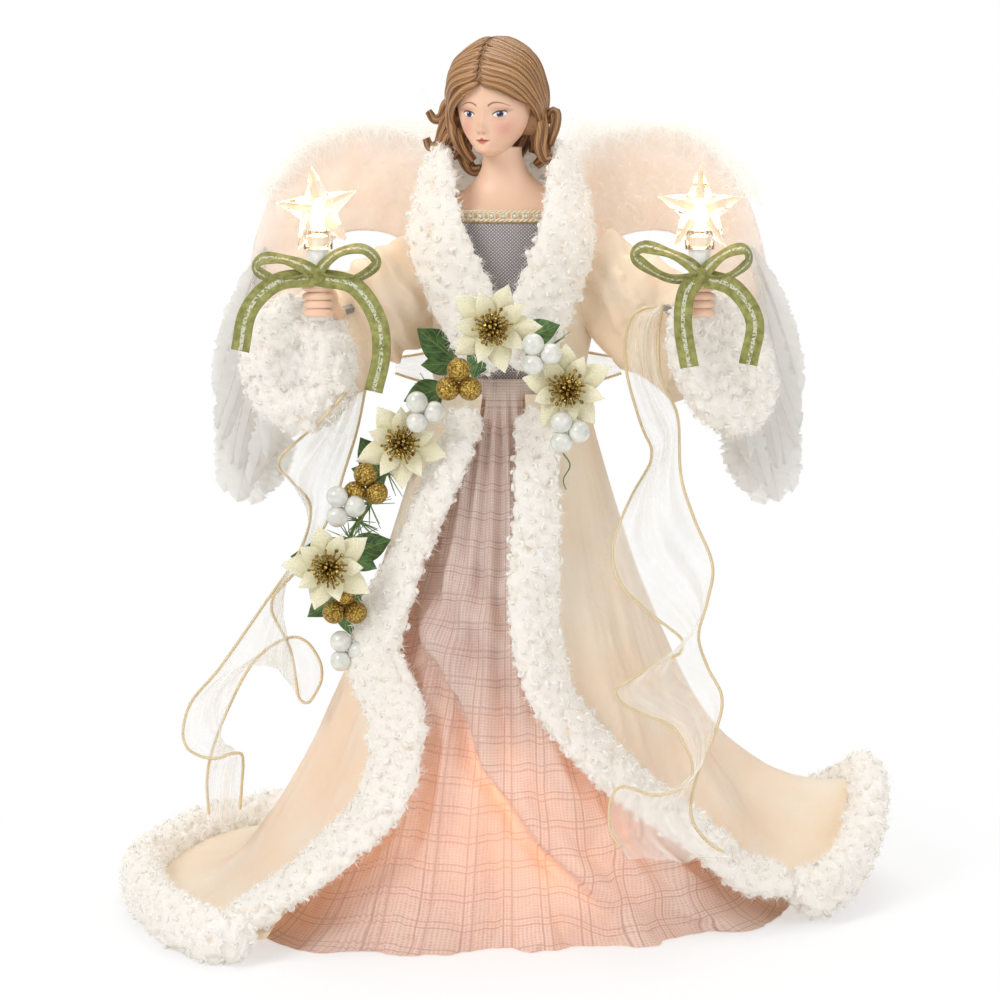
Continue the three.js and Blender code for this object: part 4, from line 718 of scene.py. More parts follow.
felt_f = Finish("wing_felt", shade(246, 216, 192), 0.9, Sheen_Weight=0.4)
peach = felt_f.ramp(
    felt_f.noise(16, 4), (0.3, shade(251, 234, 218)), (0.62, shade(254, 243, 232)), (0.8, shade(255, 249, 243))
)
rim_white = felt_f.math("SUBTRACT", 1.0, felt_f.math("MULTIPLY", felt_f.mark("inward", AS_NUMBER), 2.4))
felt_f.put("Base Color", felt_f.blend(rim_white, peach, shade(254, 250, 246)))
felt_f.relief(felt_f.noise(2.2, 5), 0.8, 0.8)
felt = felt_f.through(0.35, shade(254, 240, 226)).made

ribbon_f = Finish("green_ribbon", shade(150, 152, 82), 0.75, Sheen_Weight=0.25, Sheen_Roughness=0.3)
_, across_ribbon, _ = ribbon_f.parts(ribbon_f.mark("strip"))
speck = ribbon_f.math("GREATER_THAN", ribbon_f.noise(0.9, 2), 0.47)
middle = ribbon_f.math("MULTIPLY", speck, ribbon_f.math("LESS_THAN", ribbon_f.math("ABSOLUTE", across_ribbon), 0.24))
nap = ribbon_f.ramp(ribbon_f.noise(3, 3), (0.3, shade(116, 114, 54)), (0.7, shade(160, 160, 92)))
ribbon_f.put("Base Color", ribbon_f.blend(middle, nap, shade(214, 214, 196)))
ribbon_f.put("Metallic", ribbon_f.math("MULTIPLY", middle, 0.7))
ribbon_green = ribbon_f.relief(ribbon_f.noise(0.4, 2), 0.2, 0.7).made

silver_f = Finish("silver_glitter", shade(232, 234, 232), 0.3, Metallic=0.8)
silver = silver_f.relief(silver_f.cells(0.5), 0.4, 1.0).made

petal_f = Finish("cream_petal", shade(238, 230, 204), 0.55, Sheen_Weight=0.4)
along_petal, _, _ = petal_f.parts(petal_f.mark("blade"))
petal_f.tint(along_petal, (0.0, shade(190, 186, 112)), (0.35, shade(222, 214, 168)), (1.0, shade(242, 236, 208)))
petal = petal_f.relief(petal_f.cells(0.8), 0.3, 0.6).made

leaf_f = Finish("green_foliage", shade(56, 84, 40), 0.6, Sheen_Weight=0.3)
along_leaf, across_leaf, _ = leaf_f.parts(leaf_f.mark("blade"))
from_rib = leaf_f.math("ABSOLUTE", across_leaf)
slant = leaf_f.math("SUBTRACT", leaf_f.math("MULTIPLY", along_leaf, 6.0), leaf_f.math("MULTIPLY", from_rib, 2.0))
vein = leaf_f.math("PINGPONG", slant, 0.5)
rib_line = leaf_f.math("MAXIMUM", leaf_f.math("LESS_THAN", vein, 0.07), leaf_f.math("LESS_THAN", from_rib, 0.06))
blade_tone = leaf_f.ramp(leaf_f.noise(4, 3), (0.3, shade(34, 66, 26)), (0.7, shade(82, 122, 54)))
leaf_f.put("Base Color", leaf_f.blend(leaf_f.math("MULTIPLY", rib_line, 0.35), blade_tone, shade(150, 172, 104)))
leaf = leaf_f.relief(leaf_f.noise(0.9, 3), 0.3, 0.6).made

glitter_f = Finish("gold_glitter", shade(176, 146, 70), 0.3, Metallic=0.8)
glitter_f.tint(glitter_f.cells(0.9), (0.1, shade(232, 208, 130)), (0.4, shade(182, 148, 66)), (0.8, shade(116, 88, 34)))
glitter = glitter_f.relief(glitter_f.cells(0.9), 0.5, 1.0).made

pearl_f = Finish("pearl_white", shade(240, 240, 234), 0.22, Coat_Weight=0.6, Coat_Roughness=0.1)
pearl_f.tint(pearl_f.noise(3.5, 1), (0.3, shade(206, 208, 200)), (0.7, shade(232, 230, 220)))
pearl = pearl_f.made
frost = Finish("frost_grains", shade(250, 250, 246), 0.25, Transmission_Weight=0.3).made
holder_white = painted("white_holder", shade(244, 244, 240), 0.35, 0.06, 2.0)


def lit(name, centre, colour, strength, reach, **more):
    """A clear or frosted lamp cover with a painted glow round its bulb, though the cover is no lamp."""
    f = Finish(name, colour, 0.04, **more)
    gap = f.gap_from(centre * MM)
    near = f.math("POWER", 2.718, f.math("MULTIPLY", f.math("MULTIPLY", gap, gap), -1 / (reach * MM) ** 2))
    # painted light: the glow fades with the distance from the bulb
    f.glow(shade(255, 206, 140), f.math("MULTIPLY", near, strength))
    return f.relief(f.noise(3.5, 2), 0.12, 0.3).made


def glowing(name, colour, rough, light, strength, **more):
    """The glass of a lit lamp."""
    f = Finish(name, colour, rough, **more).glow(light, strength)
    return f.relief(f.noise(2.0, 2), 0.1, 0.3).made


bulb_glass = glowing("lamp_glass", shade(255, 240, 210), 0.2, shade(255, 208, 140), 9, Transmission_Weight=0.4)


# Tufts and bands of pile
def curl_shape(reach=1.5, thread=0.9, rows=6, sides=4):
    """A short arch of yarn, bent sideways as it rises and dives."""
    t = np.linspace(0, 1, rows)
    a = 1.35 * np.pi * t - 0.4
    path = np.stack([reach * np.cos(a), reach * np.sin(a), 2.0 * np.sin(np.pi * t) ** 0.8 - 0.7], 1)
    fat = thread * (0.75 + 0.45 * np.sin(np.pi * t))
    return tube(band(path, (0, 0, 1), fat, fat, sides))


def depth_marks(shape, low, high):
    """Marks how high each point stands, 0 at the root and 1 at the tip, in all three values; the pile's finish paints
    shade by it at the roots.
    """
    share = np.clip((shape[0][:, 2] - low) / (high - low), 0, 1)
    return {"depth": thrice(share)}


curl = curl_shape()
curl_tuft = tuft_object("curl_tuft", curl, depth_marks(curl, -1.4, 1.4))


def plume_shape(fibres, long, spread, width, droop=0.25, steps=3, seed=3):
    pick = np.random.default_rng(seed)
    shapes = []
    for _ in range(fibres):
        a, lean = pick.uniform(0, 2 * np.pi), pick.uniform(0.1, spread)
        way = vec(np.cos(a) * np.sin(lean), np.sin(a) * np.sin(lean), np.cos(lean))
        side = unit(np.cross(way, pick.normal(size=3)))
        reach = long * pick.uniform(0.6, 1)
        t = np.linspace(0, 1, steps + 1)[:, None]
        mid = way * reach * t + vec(np.cos(a), np.sin(a), -0.6) * droop * reach * t**2
        w = width * (1 - 0.85 * t)
        points = np.stack([mid - side * w / 2, mid + side * w / 2], 1).reshape(-1, 3)
        shapes.append((points, [[2 * k, 2 * k + 1, 2 * k + 3, 2 * k + 2] for k in range(steps)]))
    return join_shapes(shapes)


plume_tuft = tuft_object("plume_tuft", plume_shape(11, 14, 1.15, 0.42, 0.45))
flake = np.array([[0.42 * np.cos(a), 0.42 * np.sin(a), 1.7] for a in np.arange(6) * np.pi / 3])
flake_tuft = tuft_object("flake_tuft", (flake, [[0, 1, 2, 3, 4, 5]]))
wool = plume_shape(5, 3.4, 1.35, 0.3, 0.6, 2, 9)
wool_tuft = tuft_object("wool_tuft", wool, depth_marks(wool, -2.5, 1.0))
grain_tuft = tuft_object("grain_tuft", ball(vec(0, 0, 0), 0.28, 5, 3))


def pile_band(
        name, path, out, wide, thick, sides, nodes, seed, closed=False, lift=1.0, spacing=4.0, floor=None, plug=None
):
    """A stuffed band of curly pile: a knotted base, loops of yarn standing on it and a few glitter flakes."""
    rings = band(path, out, wide, thick, sides, closed)
    middles = np.repeat(path, sides, 0)
    if not closed:
        middles = np.vstack([middles, path[1], path[-2]])
    if plug:
        middles = np.vstack([middles, np.tile(plug[0].mean(0), (len(plug[0]), 1))])
    points, faces = join_shapes([tube(rings, closed)] + ([plug] if plug else []))
    high = 0.7 * knots(points, 5.6, seed) + 0.3 * knots(points, 2.7, seed + 5)
    level, height, sunk = 0.62, 4.6, 0.5
    points = points + unit(points - middles) * ((high - level) * height * lift - sunk)[:, None]
    if floor is not None:
        points[:, 2] = np.maximum(points[:, 2], floor)
    slot = "curly_pile"
    # the knots' height marks where the finish paints shade in the creases
    base = outward(piece(name, points, faces, pile, slot=slot, stands_for=nodes, marks={"depth": thrice(high * 0.9)}))
    # tuft, name, finish, spacing, seed, smallest and largest, tilt
    for tuft, label, finish, apart, more, sizes, tilt in (
        (curl_tuft, "curls", pile, spacing * 1.6, 0, (0.55, 0.95), 0.5),
        (wool_tuft, "wool", pile, spacing * 0.62, 9, (0.7, 1.3), 0.8),
        (flake_tuft, "glitter", silver, 5.6, 3, (0.7, 1.1), 0.9),
    ):
        loose = grow_on(base, tuft, f"{name}_{label}", finish, apart, seed + more, sizes, tilt, slot)
        if floor is not None:
            keep_above(loose, floor)


def keep_above(obj, floor):
    co = np.empty(len(obj.data.vertices) * 3, np.float32)
    obj.data.vertices.foreach_get("co", co)
    co = co.reshape(-1, 3)
    co[:, 2] = np.maximum(co[:, 2], floor * MM)
    obj.data.vertices.foreach_set("co", co.reshape(-1))


def round_ends(count, share):
    """Full width along the middle and rounded off over `share` of each end."""
    t = np.linspace(0, 1, count)
    off = np.clip(np.minimum(t, 1 - t) / share, 0, 1)
    return np.sqrt(np.clip(1 - (1 - off) ** 2, 0.02, 1))


# Gown, coat, trims and sleeves
def cloth_grid(points, name, finish, slot, nodes, closed=False, marks=None):
    rows, cols = points.shape[:2]
    flat = {k: v.reshape(-1, 3) for k, v in (marks or {}).items()}
    faces = sheet_faces(rows, cols, closed)
    return piece(name, points.reshape(-1, 3), faces, finish, slot=slot, stands_for=nodes, marks=flat)


def cloth_size(points):
    """Mean width and length of a cloth grid, in metres, and its area."""
    du = np.linalg.norm(np.diff(points, axis=0), axis=2)
    dv = np.linalg.norm(np.diff(points, axis=1), axis=2)
    a, b, c, d = points[:-1, :-1], points[1:, :-1], points[:-1, 1:], points[1:, 1:]
    halves = (np.linalg.norm(np.cross(b - corner, c - corner), axis=2) for corner in (a, d))
    area = sum(halves).sum() / 2
    return du.sum(0).max() * MM, dv.sum(1).max() * MM, area * MM * MM


def declare_sheet(obj, grid, held, rests_on, turned=False, **more):
    """Measures a cloth's grid, its width, length and area, and does nothing more with it; `turned` is not used."""
    wide, long, area = cloth_size(grid)


def gown():
    cols, rows = ((480, 150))
    heading = np.linspace(180, 540, cols, endpoint=False)[:, None] + np.zeros(rows)[None]
    v = np.linspace(0, 1, rows)[None] ** 0.9 + np.zeros(cols)[:, None]
    p = gown_at(heading, v)
    turn = (heading + 180) % 360 - 180
    crease = lumps(np.stack([heading / 9, v * 5, 0 * v], -1), 1.0, 3, 3)
    shown = ease(np.abs(turn), 90, 50)
    push = 0.022 * np.hypot(p[..., 0], p[..., 1]) * crease * np.sin(np.pi * np.clip(v, 0, 0.97))
    for top, hem, narrow, full, deep in PLEATS:
        off = (turn - mix(top, hem, v**0.8)) / mix(narrow, full, v)
        push += 1.35 * deep * np.exp(-off * off) * ease(v, 0, 0.05) * (1 - 0.45 * v)
    past = turn - smooth(FOLD_EDGE[0], FOLD_EDGE[1], np.clip(v, 0.2, 1))
    over = ease(past, -0.4, 1.4) * np.exp(-np.maximum(past, 0) / 30) * ease(v, 0.24, 0.34) * ease(v, 0.9, 0.76)
    push += 8.5 * over - 3.4 * bell(past, -3, 3) * ease(v, 0.3, 0.5) * ease(v, 0.9, 0.76)
    push += 2.4 * np.sin(past / 2.9 + 1.2 * crease) * ease(past, 1, 7) * ease(v, 0.16, 0.32) * ease(v, 0.96, 0.84)
    push += 3.8 * ease(v, 0.78, 1) * np.sin(turn / 4.4 + 2.4 * crease)
    low, high = coat_span(v)
    bare = ease(np.minimum(heading % 360 - low, high - heading % 360), 4, -3)
    push = np.where(push > 0, push * bare, push)
    tuck = ease(v, 0.025, 0)
    push += 1.6 * tuck
    p[..., 2] += 7 * tuck
    from_middle = np.maximum(np.hypot(p[..., 0], p[..., 1]), 1)
    p[..., :2] *= 1 + (push * np.maximum(shown, tuck) / from_middle)[..., None]
    p[..., 2] = np.maximum(p[..., 2] + 0.6 * crease * (v > 0.9), 0.4)
    down = np.concatenate([np.zeros((cols, 1)), np.cumsum(np.linalg.norm(np.diff(p, axis=1), axis=2), axis=1)], 1)
    plaid_radius = 70
    across = (heading - 180) / 360 * 2 * np.pi * plaid_radius
    marks = {"weave": np.stack([across, down, 0 * down], -1), "doubled": thrice(ease(past, -1, 2))}
    obj = cloth_grid(p, "gown_skirt_cloth", linen, "gown_linen", ["gown_skirt"], True, marks)
    declare_sheet(obj, np.vstack([p, p[:1]]), "gathered", ["torso_block", "tree_cone"])


def coat():
    cols, rows = ((460, 150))
    v = np.linspace(0, 1, rows)[None] + np.zeros(cols)[:, None]
    low, high = coat_span(v)
    heading = mix(low, high, np.linspace(0, 1, cols)[:, None])
    p = coat_at(heading, v)
    face = coat_face(heading, v)
    soft = lumps(np.stack([heading / 14, v * 3, 0 * v], -1), 1.0, 9, 3)
    p = p + face * (soft * 3.2 * np.sin(np.pi * v))[..., None]
    obj = cloth_grid(p, "coat_skirt_cloth", fleece, "coat_fleece", ["coat_skirt"])
    declare_sheet(obj, p, "gathered", ["gown_skirt"])
    top_z = np.linspace(334, 242.6, 68)[None]
    opening = mix(27, 46, ease(top_z, 262, 306)) + 62 * ease(top_z, 318, 328)
    turn = mix(360 - opening, opening, np.linspace(0, 1, 160)[:, None])
    drop = ease(top_z, 315, 322) * CHEST_WIDE * 0.08
    q = wrapped(top_z + 0 * turn, turn, COAT_OUT - drop)
    q[..., :2] *= (1 - 0.3 * ease(top_z, 321, 334))[..., None]
    q += unit(q * [1, 1, 0]) * (lumps(q, 14, 4, 2) * 0.8)[..., None]
    top = cloth_grid(q[::-1], "coat_top_cloth", fleece, "coat_fleece", ["coat_top"])
    declare_sheet(top, q, "stretched", ["torso_block", "bust"])


def trims():
    ends = {}
    for side, name in SIDES:
        v = np.array([0.02, 0.16, 0.3, 0.44, 0.58, 0.72, 0.86, 0.985])
        right, left = coat_span(v)
        heading = right + 3 if side > 0 else left - 3
        face = coat_face(heading, v)
        p = coat_at(heading, v) + face * 6.1
        ends[name] = p[-1]
        count = 260
        path = line(p, count)
        out = unit(line(face, count))
        t = np.linspace(0, 1, count)
        off = round_ends(count, 0.03)
        wide = 12.8 * (0.62 + 0.38 * np.minimum(1, 3 * t)) * off
        sides = 50
        pile_band(f"front_trim_{name}_pile", path, out, wide, 5.6 * off, sides, [f"front_trim_{name}"], 11 + side)
    heading = np.linspace(70, 360 - 43 - 4, 27)
    edge = coat_at(heading, np.ones(27))
    edge += unit(edge * [1, 1, 0]) * 10.2
    edge[:, 2] = np.maximum(11.5, edge[:, 2])
    path = np.vstack([ends["right"], edge, ends["left"]])
    count = 900
    path = line(path, count)
    out = unit(path * [1, 1, 0])
    off = round_ends(count, 0.012)
    sides = 60
    pile_band("hem_trim_pile", path, out, 11.6 * off, 9.2 * off, sides, ["hem_trim"], 21, spacing=4.4, floor=0.3)


def collar_and_cuffs():
    front = [(5, 0.16, 0.1), (15, 0.37, 0), (27, 0.64, 0), (40, 0.95, 0)]
    top = [(0.86, -0.3, 1.25), (0.82, 0.45, 1.31), (0.5, 0.98, 1.34)]
    to_left = 3.5

    def half(side):
        rows = [
            wrapped(np.float64(mix(WAIST_Z, SHOULDER_Z, high)), side * heading, COAT_OUT + 0.3 + 5.4 * (1 + lift))
            for heading, high, lift in front
        ]
        for x, y, high in top:
            rows.append(vec(side * x * CHEST_WIDE, y * (CHEST_DEEP + COAT_OUT), mix(WAIST_Z, SHOULDER_Z, high)))
        return rows

    p = np.array(half(-1) + [vec(0, CHEST_DEEP + COAT_OUT, mix(WAIST_Z, SHOULDER_Z, 1.35))] + half(1)[::-1])
    p[:, 0] += -to_left * ease(p[:, 2], WAIST_Z, SHOULDER_Z)
    count = 260
    path = line(p, count)
    t = np.linspace(0, 1, count)
    out = unit(np.stack([path[:, 0] + to_left, path[:, 1] * 1.4, 0 * t + 11.2], 1))
    wide = 15.2 * (0.84 + 0.16 * np.minimum(1, 6 * np.minimum(t, 1 - t))) * round_ends(count, 0.03)
    thick = 5.6 * round_ends(count, 0.02)
    pile_band("collar_pile", path, out, wide, thick, 54, ["collar_trim"], 31)
    a = all_round(110)
    for side, name in SIDES:
        at = CUFF_AT[name]
        stretch = (1, 0.96) if side < 0 else (0.78, 1.2)
        ring = np.stack([np.cos(a) * 15 * stretch[0], 0 * a, np.sin(a) * 20 * stretch[1]], 1)
        across = np.stack([np.cos(a), 0 * a, np.sin(a)], 1)
        turn_y, turn_z = (-12, -14) if side < 0 else (-32, 32)
        spin = rotate_z(turn_z) @ rotate_y(turn_y)
        ring, across = ring @ spin.T + at, across @ spin.T
        p, f = ball(vec(0, 0, 0), 1, 44, 26, (8.5 * stretch[0], 7.5, 12 * stretch[1]))
        plug = (p @ spin.T + at + vec(0, -2.2, 0), f)
        sides = 60
        pile_band(
            f"cuff_{name}_pile", ring, across, 11.6, 11.2, sides, [f"cuff_{name}"], 41 + side, True, 1.35, plug=plug
        )


def rotation(degrees, first, second):
    """Turns the first axis towards the second."""
    spin = np.eye(3)
    c, s = math.cos(math.radians(degrees)), math.sin(math.radians(degrees))
    spin[first, first], spin[first, second], spin[second, first], spin[second, second] = c, -s, s, c
    return spin


def rotate_x(degrees):
    return rotation(degrees, 1, 2)


def rotate_y(degrees):
    return rotation(degrees, 2, 0)


def rotate_z(degrees):
    return rotation(degrees, 0, 1)


def sleeves():
    armpit, count = 35 + COAT_OUT, 90
    for side, name in SIDES:
        end = CUFF_AT[name]
        p = np.array([
            [side * armpit * 0.85, 0, SHOULDER_Z - 21.6],
            [side * armpit * 1.25, -5.2, SHOULDER_Z - 32.4],
            [side * mix(armpit, abs(end[0]), 0.66), -15.6, end[2] + 12],
            [end[0] - side * 7.2, end[1] + 8.4, end[2] + 3],
        ])
        path = line(p, count)
        t = np.linspace(0, 1, count)
        out = np.stack([side * -0.2 + 0 * t, mix(1, 0.6, t), 0.1 + 0 * t], 1)
        rings = band(path, out, mix(24, 27, t), mix(14, 19, t), 72)
        away = unit(rings - path[:, None])
        drag = np.sin(rings[..., 0] * 0.5 + rings[..., 2] * 0.35 + 2 * lumps(rings, 16, 2))
        pull = 1.6 * drag * bell(t, 0.45, 0.35)[:, None]
        rings = rings + away * (pull + 2.2 * lumps(rings, 15, 8, 3) - 0.6)[..., None]
        sleeve = piece(f"sleeve_{name}_cloth", *tube(rings), fleece, slot="coat_fleece", stands_for=[f"sleeve_{name}"])
        outward(sleeve)


# Head, hair and shoulders
HEAD_AT = vec(-5.5, -8, HEAD_Z + 0.6)
HEAD_TURN = rotate_z(-19) @ rotate_x(7)
HEAD_ROWS = np.array([
    [-1, 0.16, 0.62, 0.1], [-0.93, 0.34, 0.88, -0.18], [-0.8, 0.5, 0.98, -0.42], [-0.62, 0.67, 1.02, -0.66],
    [-0.42, 0.82, 1.02, -0.84], [-0.2, 0.93, 1, -0.95], [0, 1, 0.98, -1], [0.25, 1.03, 1, -1.04],
    [0.5, 0.99, 0.96, -1], [0.74, 0.82, 0.78, -0.84], [0.92, 0.5, 0.48, -0.52], [1, 0.14, 0.14, -0.14],
])
# across, height, half width, half height, forward; millimetres
FACE_FORMS = [
    (0, 3.0, 12, 3.2, 0.5), (7.4, -2.9, 4.2, 2.8, -1.9), (-7.4, -2.9, 4.2, 2.8, -1.9), (7.4, -3.0, 3.1, 2.0, 1.2),
    (-7.4, -3.0, 3.1, 2.0, 1.2), (0, -3.3, 1.9, 4.6, 1.5), (0, -8.8, 2.0, 2.2, 3.6), (1.9, -9.9, 1.2, 1.0, 1.0),
    (-1.9, -9.9, 1.2, 1.0, 1.0), (0, -11.9, 0.9, 1.1, -0.4), (0, -13.8, 5.6, 3.6, 1.0), (1.4, -13.4, 1.6, 0.7, 0.7),
    (-1.4, -13.4, 1.6, 0.7, 0.7), (0, -15.1, 2.2, 0.8, 0.8), (0, -14.2, 3.1, 0.3, -0.6), (0, -18.4, 3.6, 2.4, 1.7),
    (8.6, -9.6, 5, 4.6, 0.9), (-8.6, -9.6, 5, 4.6, 0.9), (0, 10, 9, 7, 0.4),
]


def in_head(p):
    """From the head's own frame, facing -Y, to the shared frame."""
    return np.asarray(p) @ HEAD_TURN.T + HEAD_AT


def paint_face(x, z, front):
    """Skin colour at each point: blush, lips, brows and painted eyes, with a painted highlight in each eye and painted
    shade at the nostrils.
    """
    tone = np.array(shade(236, 196, 168)[:3]) + 0 * x[..., None]

    def lay(colour, amount):
        nonlocal tone
        amount = (np.clip(amount, 0, 1) * front)[..., None]
        tone = tone * (1 - amount) + np.array(shade(*colour)[:3]) * amount

    soft = 0.14
    for side in (-1, 1):
        lay((218, 132, 126), 0.55 * bell(x, side * 9.2, 4.0) * bell(z, -9.2, 3.6))
        ex, ez = (x - side * 7.4) * side, z + 2.9
        arch = 1.42 * np.sqrt(np.clip(1 - (ex / 2.85) ** 2, 0, 1))
        upper, lower = arch + 0.1 * ex, -arch * 0.72 + 0.06 * ex
        lay((196, 140, 110), 0.75 * bell(ez, 2.3, 1.2) * bell(ex, 0.4, 4.0))
        lay((214, 160, 132), 0.6 * bell(ez, -1.9, 0.7) * bell(ex, 0, 3))
        inside = ease(upper - ez, 0, soft) * ease(ez - lower, 0, soft) * (np.abs(ex) < 2.85)
        lay((240, 238, 236), inside)
        gaze = np.hypot(ex - 0.15 * side, ez - 0.15)
        lay((24, 36, 84), inside * ease(1.5 - gaze, 0, soft))
        lay((62, 92, 158), inside * ease(1.15 - gaze, 0, 0.3) * ease(0.2 - ez, 0, 0.8))
        lay((10, 10, 20), inside * ease(0.8 - gaze, 0, soft))
        # painted highlight: a white dot on each iris
        lay((255, 255, 255), inside * ease(0.36 - np.hypot(ex + 0.5 * side, ez - 0.75), 0, soft))
        rim = np.where(np.abs(ex) < 3.4, 1.45 * np.sqrt(np.clip(1 - (ex / 3.2) ** 2, 0, 1)) + 0.1 * ex, -9)
        lay((52, 32, 24), 0.95 * ease(0.46 - np.abs(ez - rim - 0.08), 0, 0.2) * (np.abs(ex) < 3.15))
        lay((132, 86, 62), 0.6 * ease(0.2 - np.abs(ez - lower + 0.1), 0, 0.15) * (np.abs(ex) < 3.0))
        for k in range(5):
            root, fan = 1.6 + 0.5 * k, 0.9 + 0.15 * k
            reach = ez - (1.45 * math.sqrt(max(0, 1 - (root / 3.9) ** 2)) + 0.3)
            off = np.abs(ex - root - fan * reach)
            lay((58, 36, 26), 0.9 * ease(0.17 - off, 0, 0.1) * (reach > 0) * (reach < 1))
        bx = (x * side - 2.6) / 9.4
        brow = 1.0 + 1.9 * np.sin(np.pi * np.clip(bx, 0, 1) ** 0.8) - 0.4 * bx
        thick = 0.66 * (1 - 0.6 * np.clip(bx, 0, 1))
        lay((116, 78, 52), 0.85 * ease(thick - np.abs(z - brow), 0, 0.3) * (bx > 0) * (bx < 1))
    bow = -12.95 + 0.3 * np.cos(x * 2.1) * (np.abs(x) < 1.5) - 0.34 * np.abs(x)
    lay((190, 104, 96), ease(bow - z, 0, 0.2) * ease(z + 14.2, 0, 0.15) * (np.abs(x) < 3.5))
    full = -15.7 + 0.16 * x**2
    lay((202, 116, 106), ease(z - full, 0, 0.25) * ease(-14.2 - z, 0, 0.1) * (np.abs(x) < 3.2))
    lay((128, 60, 54), 0.85 * ease(0.2 - np.abs(z + 14.2 - 0.03 * np.abs(x)), 0, 0.15) * (np.abs(x) < 3.5))
    # painted shade: a dark dot at each nostril opening
    for side in (-1, 1):
        lay((170, 98, 80), 0.8 * bell(x, side * 1.2, 0.5) * bell(z, -10.7, 0.35))
    return np.concatenate([tone, np.ones(x.shape + (1,))], -1)


def head():
    cols, rows = ((290, 236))
    s = np.linspace(0, 1, rows)
    high = smooth([0, 0.1, 0.68, 0.85, 1], [-1, -0.85, 0.22, 0.6, 1], s)
    turn = all_round(cols)
    angle = (turn - 0.5 * np.sin(turn))[None]
    wide, front, back = (smooth(HEAD_ROWS[:, 0], HEAD_ROWS[:, k], high)[:, None] for k in (1, 2, 3))
    x = 18 * wide * np.sin(angle)
    forward = (front + back) / 2 + (front - back) / 2 * np.cos(angle)
    deep = np.where(forward > 0, 20.5, 22.5) * forward
    z = (26 * high + 3.6 * ease(-high, 0.2, 1))[:, None] + 0 * x
    to_face = np.maximum(0, np.cos(angle)) ** 0.7
    for ax, az, hx, hz, amount in FACE_FORMS:
        deep = deep + to_face * amount * bell(x, ax, hx) * bell(z, az, hz)
    local = np.stack([x, -deep, z], -1)
    colour = paint_face(x, z, ease(np.cos(angle) + 0 * x, 0.0, 0.3))
    points, faces = tube(in_head(local))
    ends = np.tile(np.array(shade(238, 194, 162)), (2, 1))
    paint = {"paint": np.vstack([colour.reshape(-1, 4), ends])}
    outward(piece("head_cast", points, faces, skin_paint, slot="painted_skin", stands_for=["bust"], marks=paint))
    ears = [ball(vec(side * 18.2, 0.5, -6), 1, 14, 9, (1.6, 3.0, 4.2)) for side in (-1, 1)]
    outward(piece("ears", *join_shapes([(in_head(p), f) for p, f in ears]), skin_plain, slot="painted_skin"))


def shoulders():
    z = np.concatenate([np.linspace(300.5, 318, 20), np.linspace(318, 333, 26)[1:], np.linspace(333, 354, 20)[1:]])
    wide = smooth([300, 314, 322, 329, 335, 342, 348, 354], [35.5, 35, 33, 27, 18.5, 11.8, 9.4, 9.4], z)
    deep = smooth([300, 314, 321, 327, 333, 342, 354], [22.5, 22, 20.4, 17.5, 13.6, 10.4, 10], z)
    lean = smooth([300, 318, 333, 342, 354], [0, 0, 1, 2.6, 5], z)
    a = all_round(96)
    x = wide[:, None] * np.sin(a) - 0.7 * lean[:, None]
    y = -deep[:, None] * np.cos(a) - lean[:, None]
    p = np.stack([x, y, z[:, None] + 0 * x], -1)
    bone = bell(p[..., 2], 326, 1.6) * bell(np.abs(p[..., 0] + 3), 11, 7) * (p[..., 1] < 0)
    p[..., 1] -= 0.9 * bone
    outward(piece("neck_and_chest", *tube(p), skin_plain, slot="painted_skin"))


def lock_shape(points, wide, thick, lift=(0, 1, 0.2), grooves=6, twist=0.8, steps=46, sides=30, seed=0.0, tail=0.25):
    """A moulded lock of hair: a tapered sweep with grooves that wind along it."""
    path = line(points, steps)
    t = np.linspace(0, 1, steps)
    _, out, across = headings_of(path, lift)
    a = all_round(sides)
    groove = 0.5 + 0.5 * np.cos(grooves * a[None] + twist * 2 * np.pi * t[:, None] + seed)
    groove = groove * 0.75 + 0.25 * (0.5 + 0.5 * np.cos((2 * grooves + 1) * a[None] + seed * 2 - 3 * t[:, None]))
    body = np.sqrt(np.clip(1 - (1 - np.minimum(t / 0.12, 1)) ** 2, 0.02, 1)) * mix(1, tail, t**1.6)
    scale = body[:, None] * (0.88 + 0.14 * groove)
    sideways = (wide * scale * np.cos(a))[..., None] * across[:, None]
    rings = path[:, None] + sideways + (thick * scale * np.sin(a))[..., None] * out[:, None]
    mark = np.stack([groove, a[None] + 0.6 * t[:, None], t[:, None] + 0 * groove], -1).reshape(-1, 3)
    return tube(rings), np.vstack([mark, [[0.3, 0, 0], [0.3, 0, 1]]])


def on_skull(direction, lift):
    d = unit(direction)
    r = 1 / np.sqrt((d[..., 0] / 18.2) ** 2 + (d[..., 1] / 22.4) ** 2 + (d[..., 2] / 27.4) ** 2)
    return d * (r + lift)[..., None] if np.ndim(lift) else d * (r[..., None] + lift)


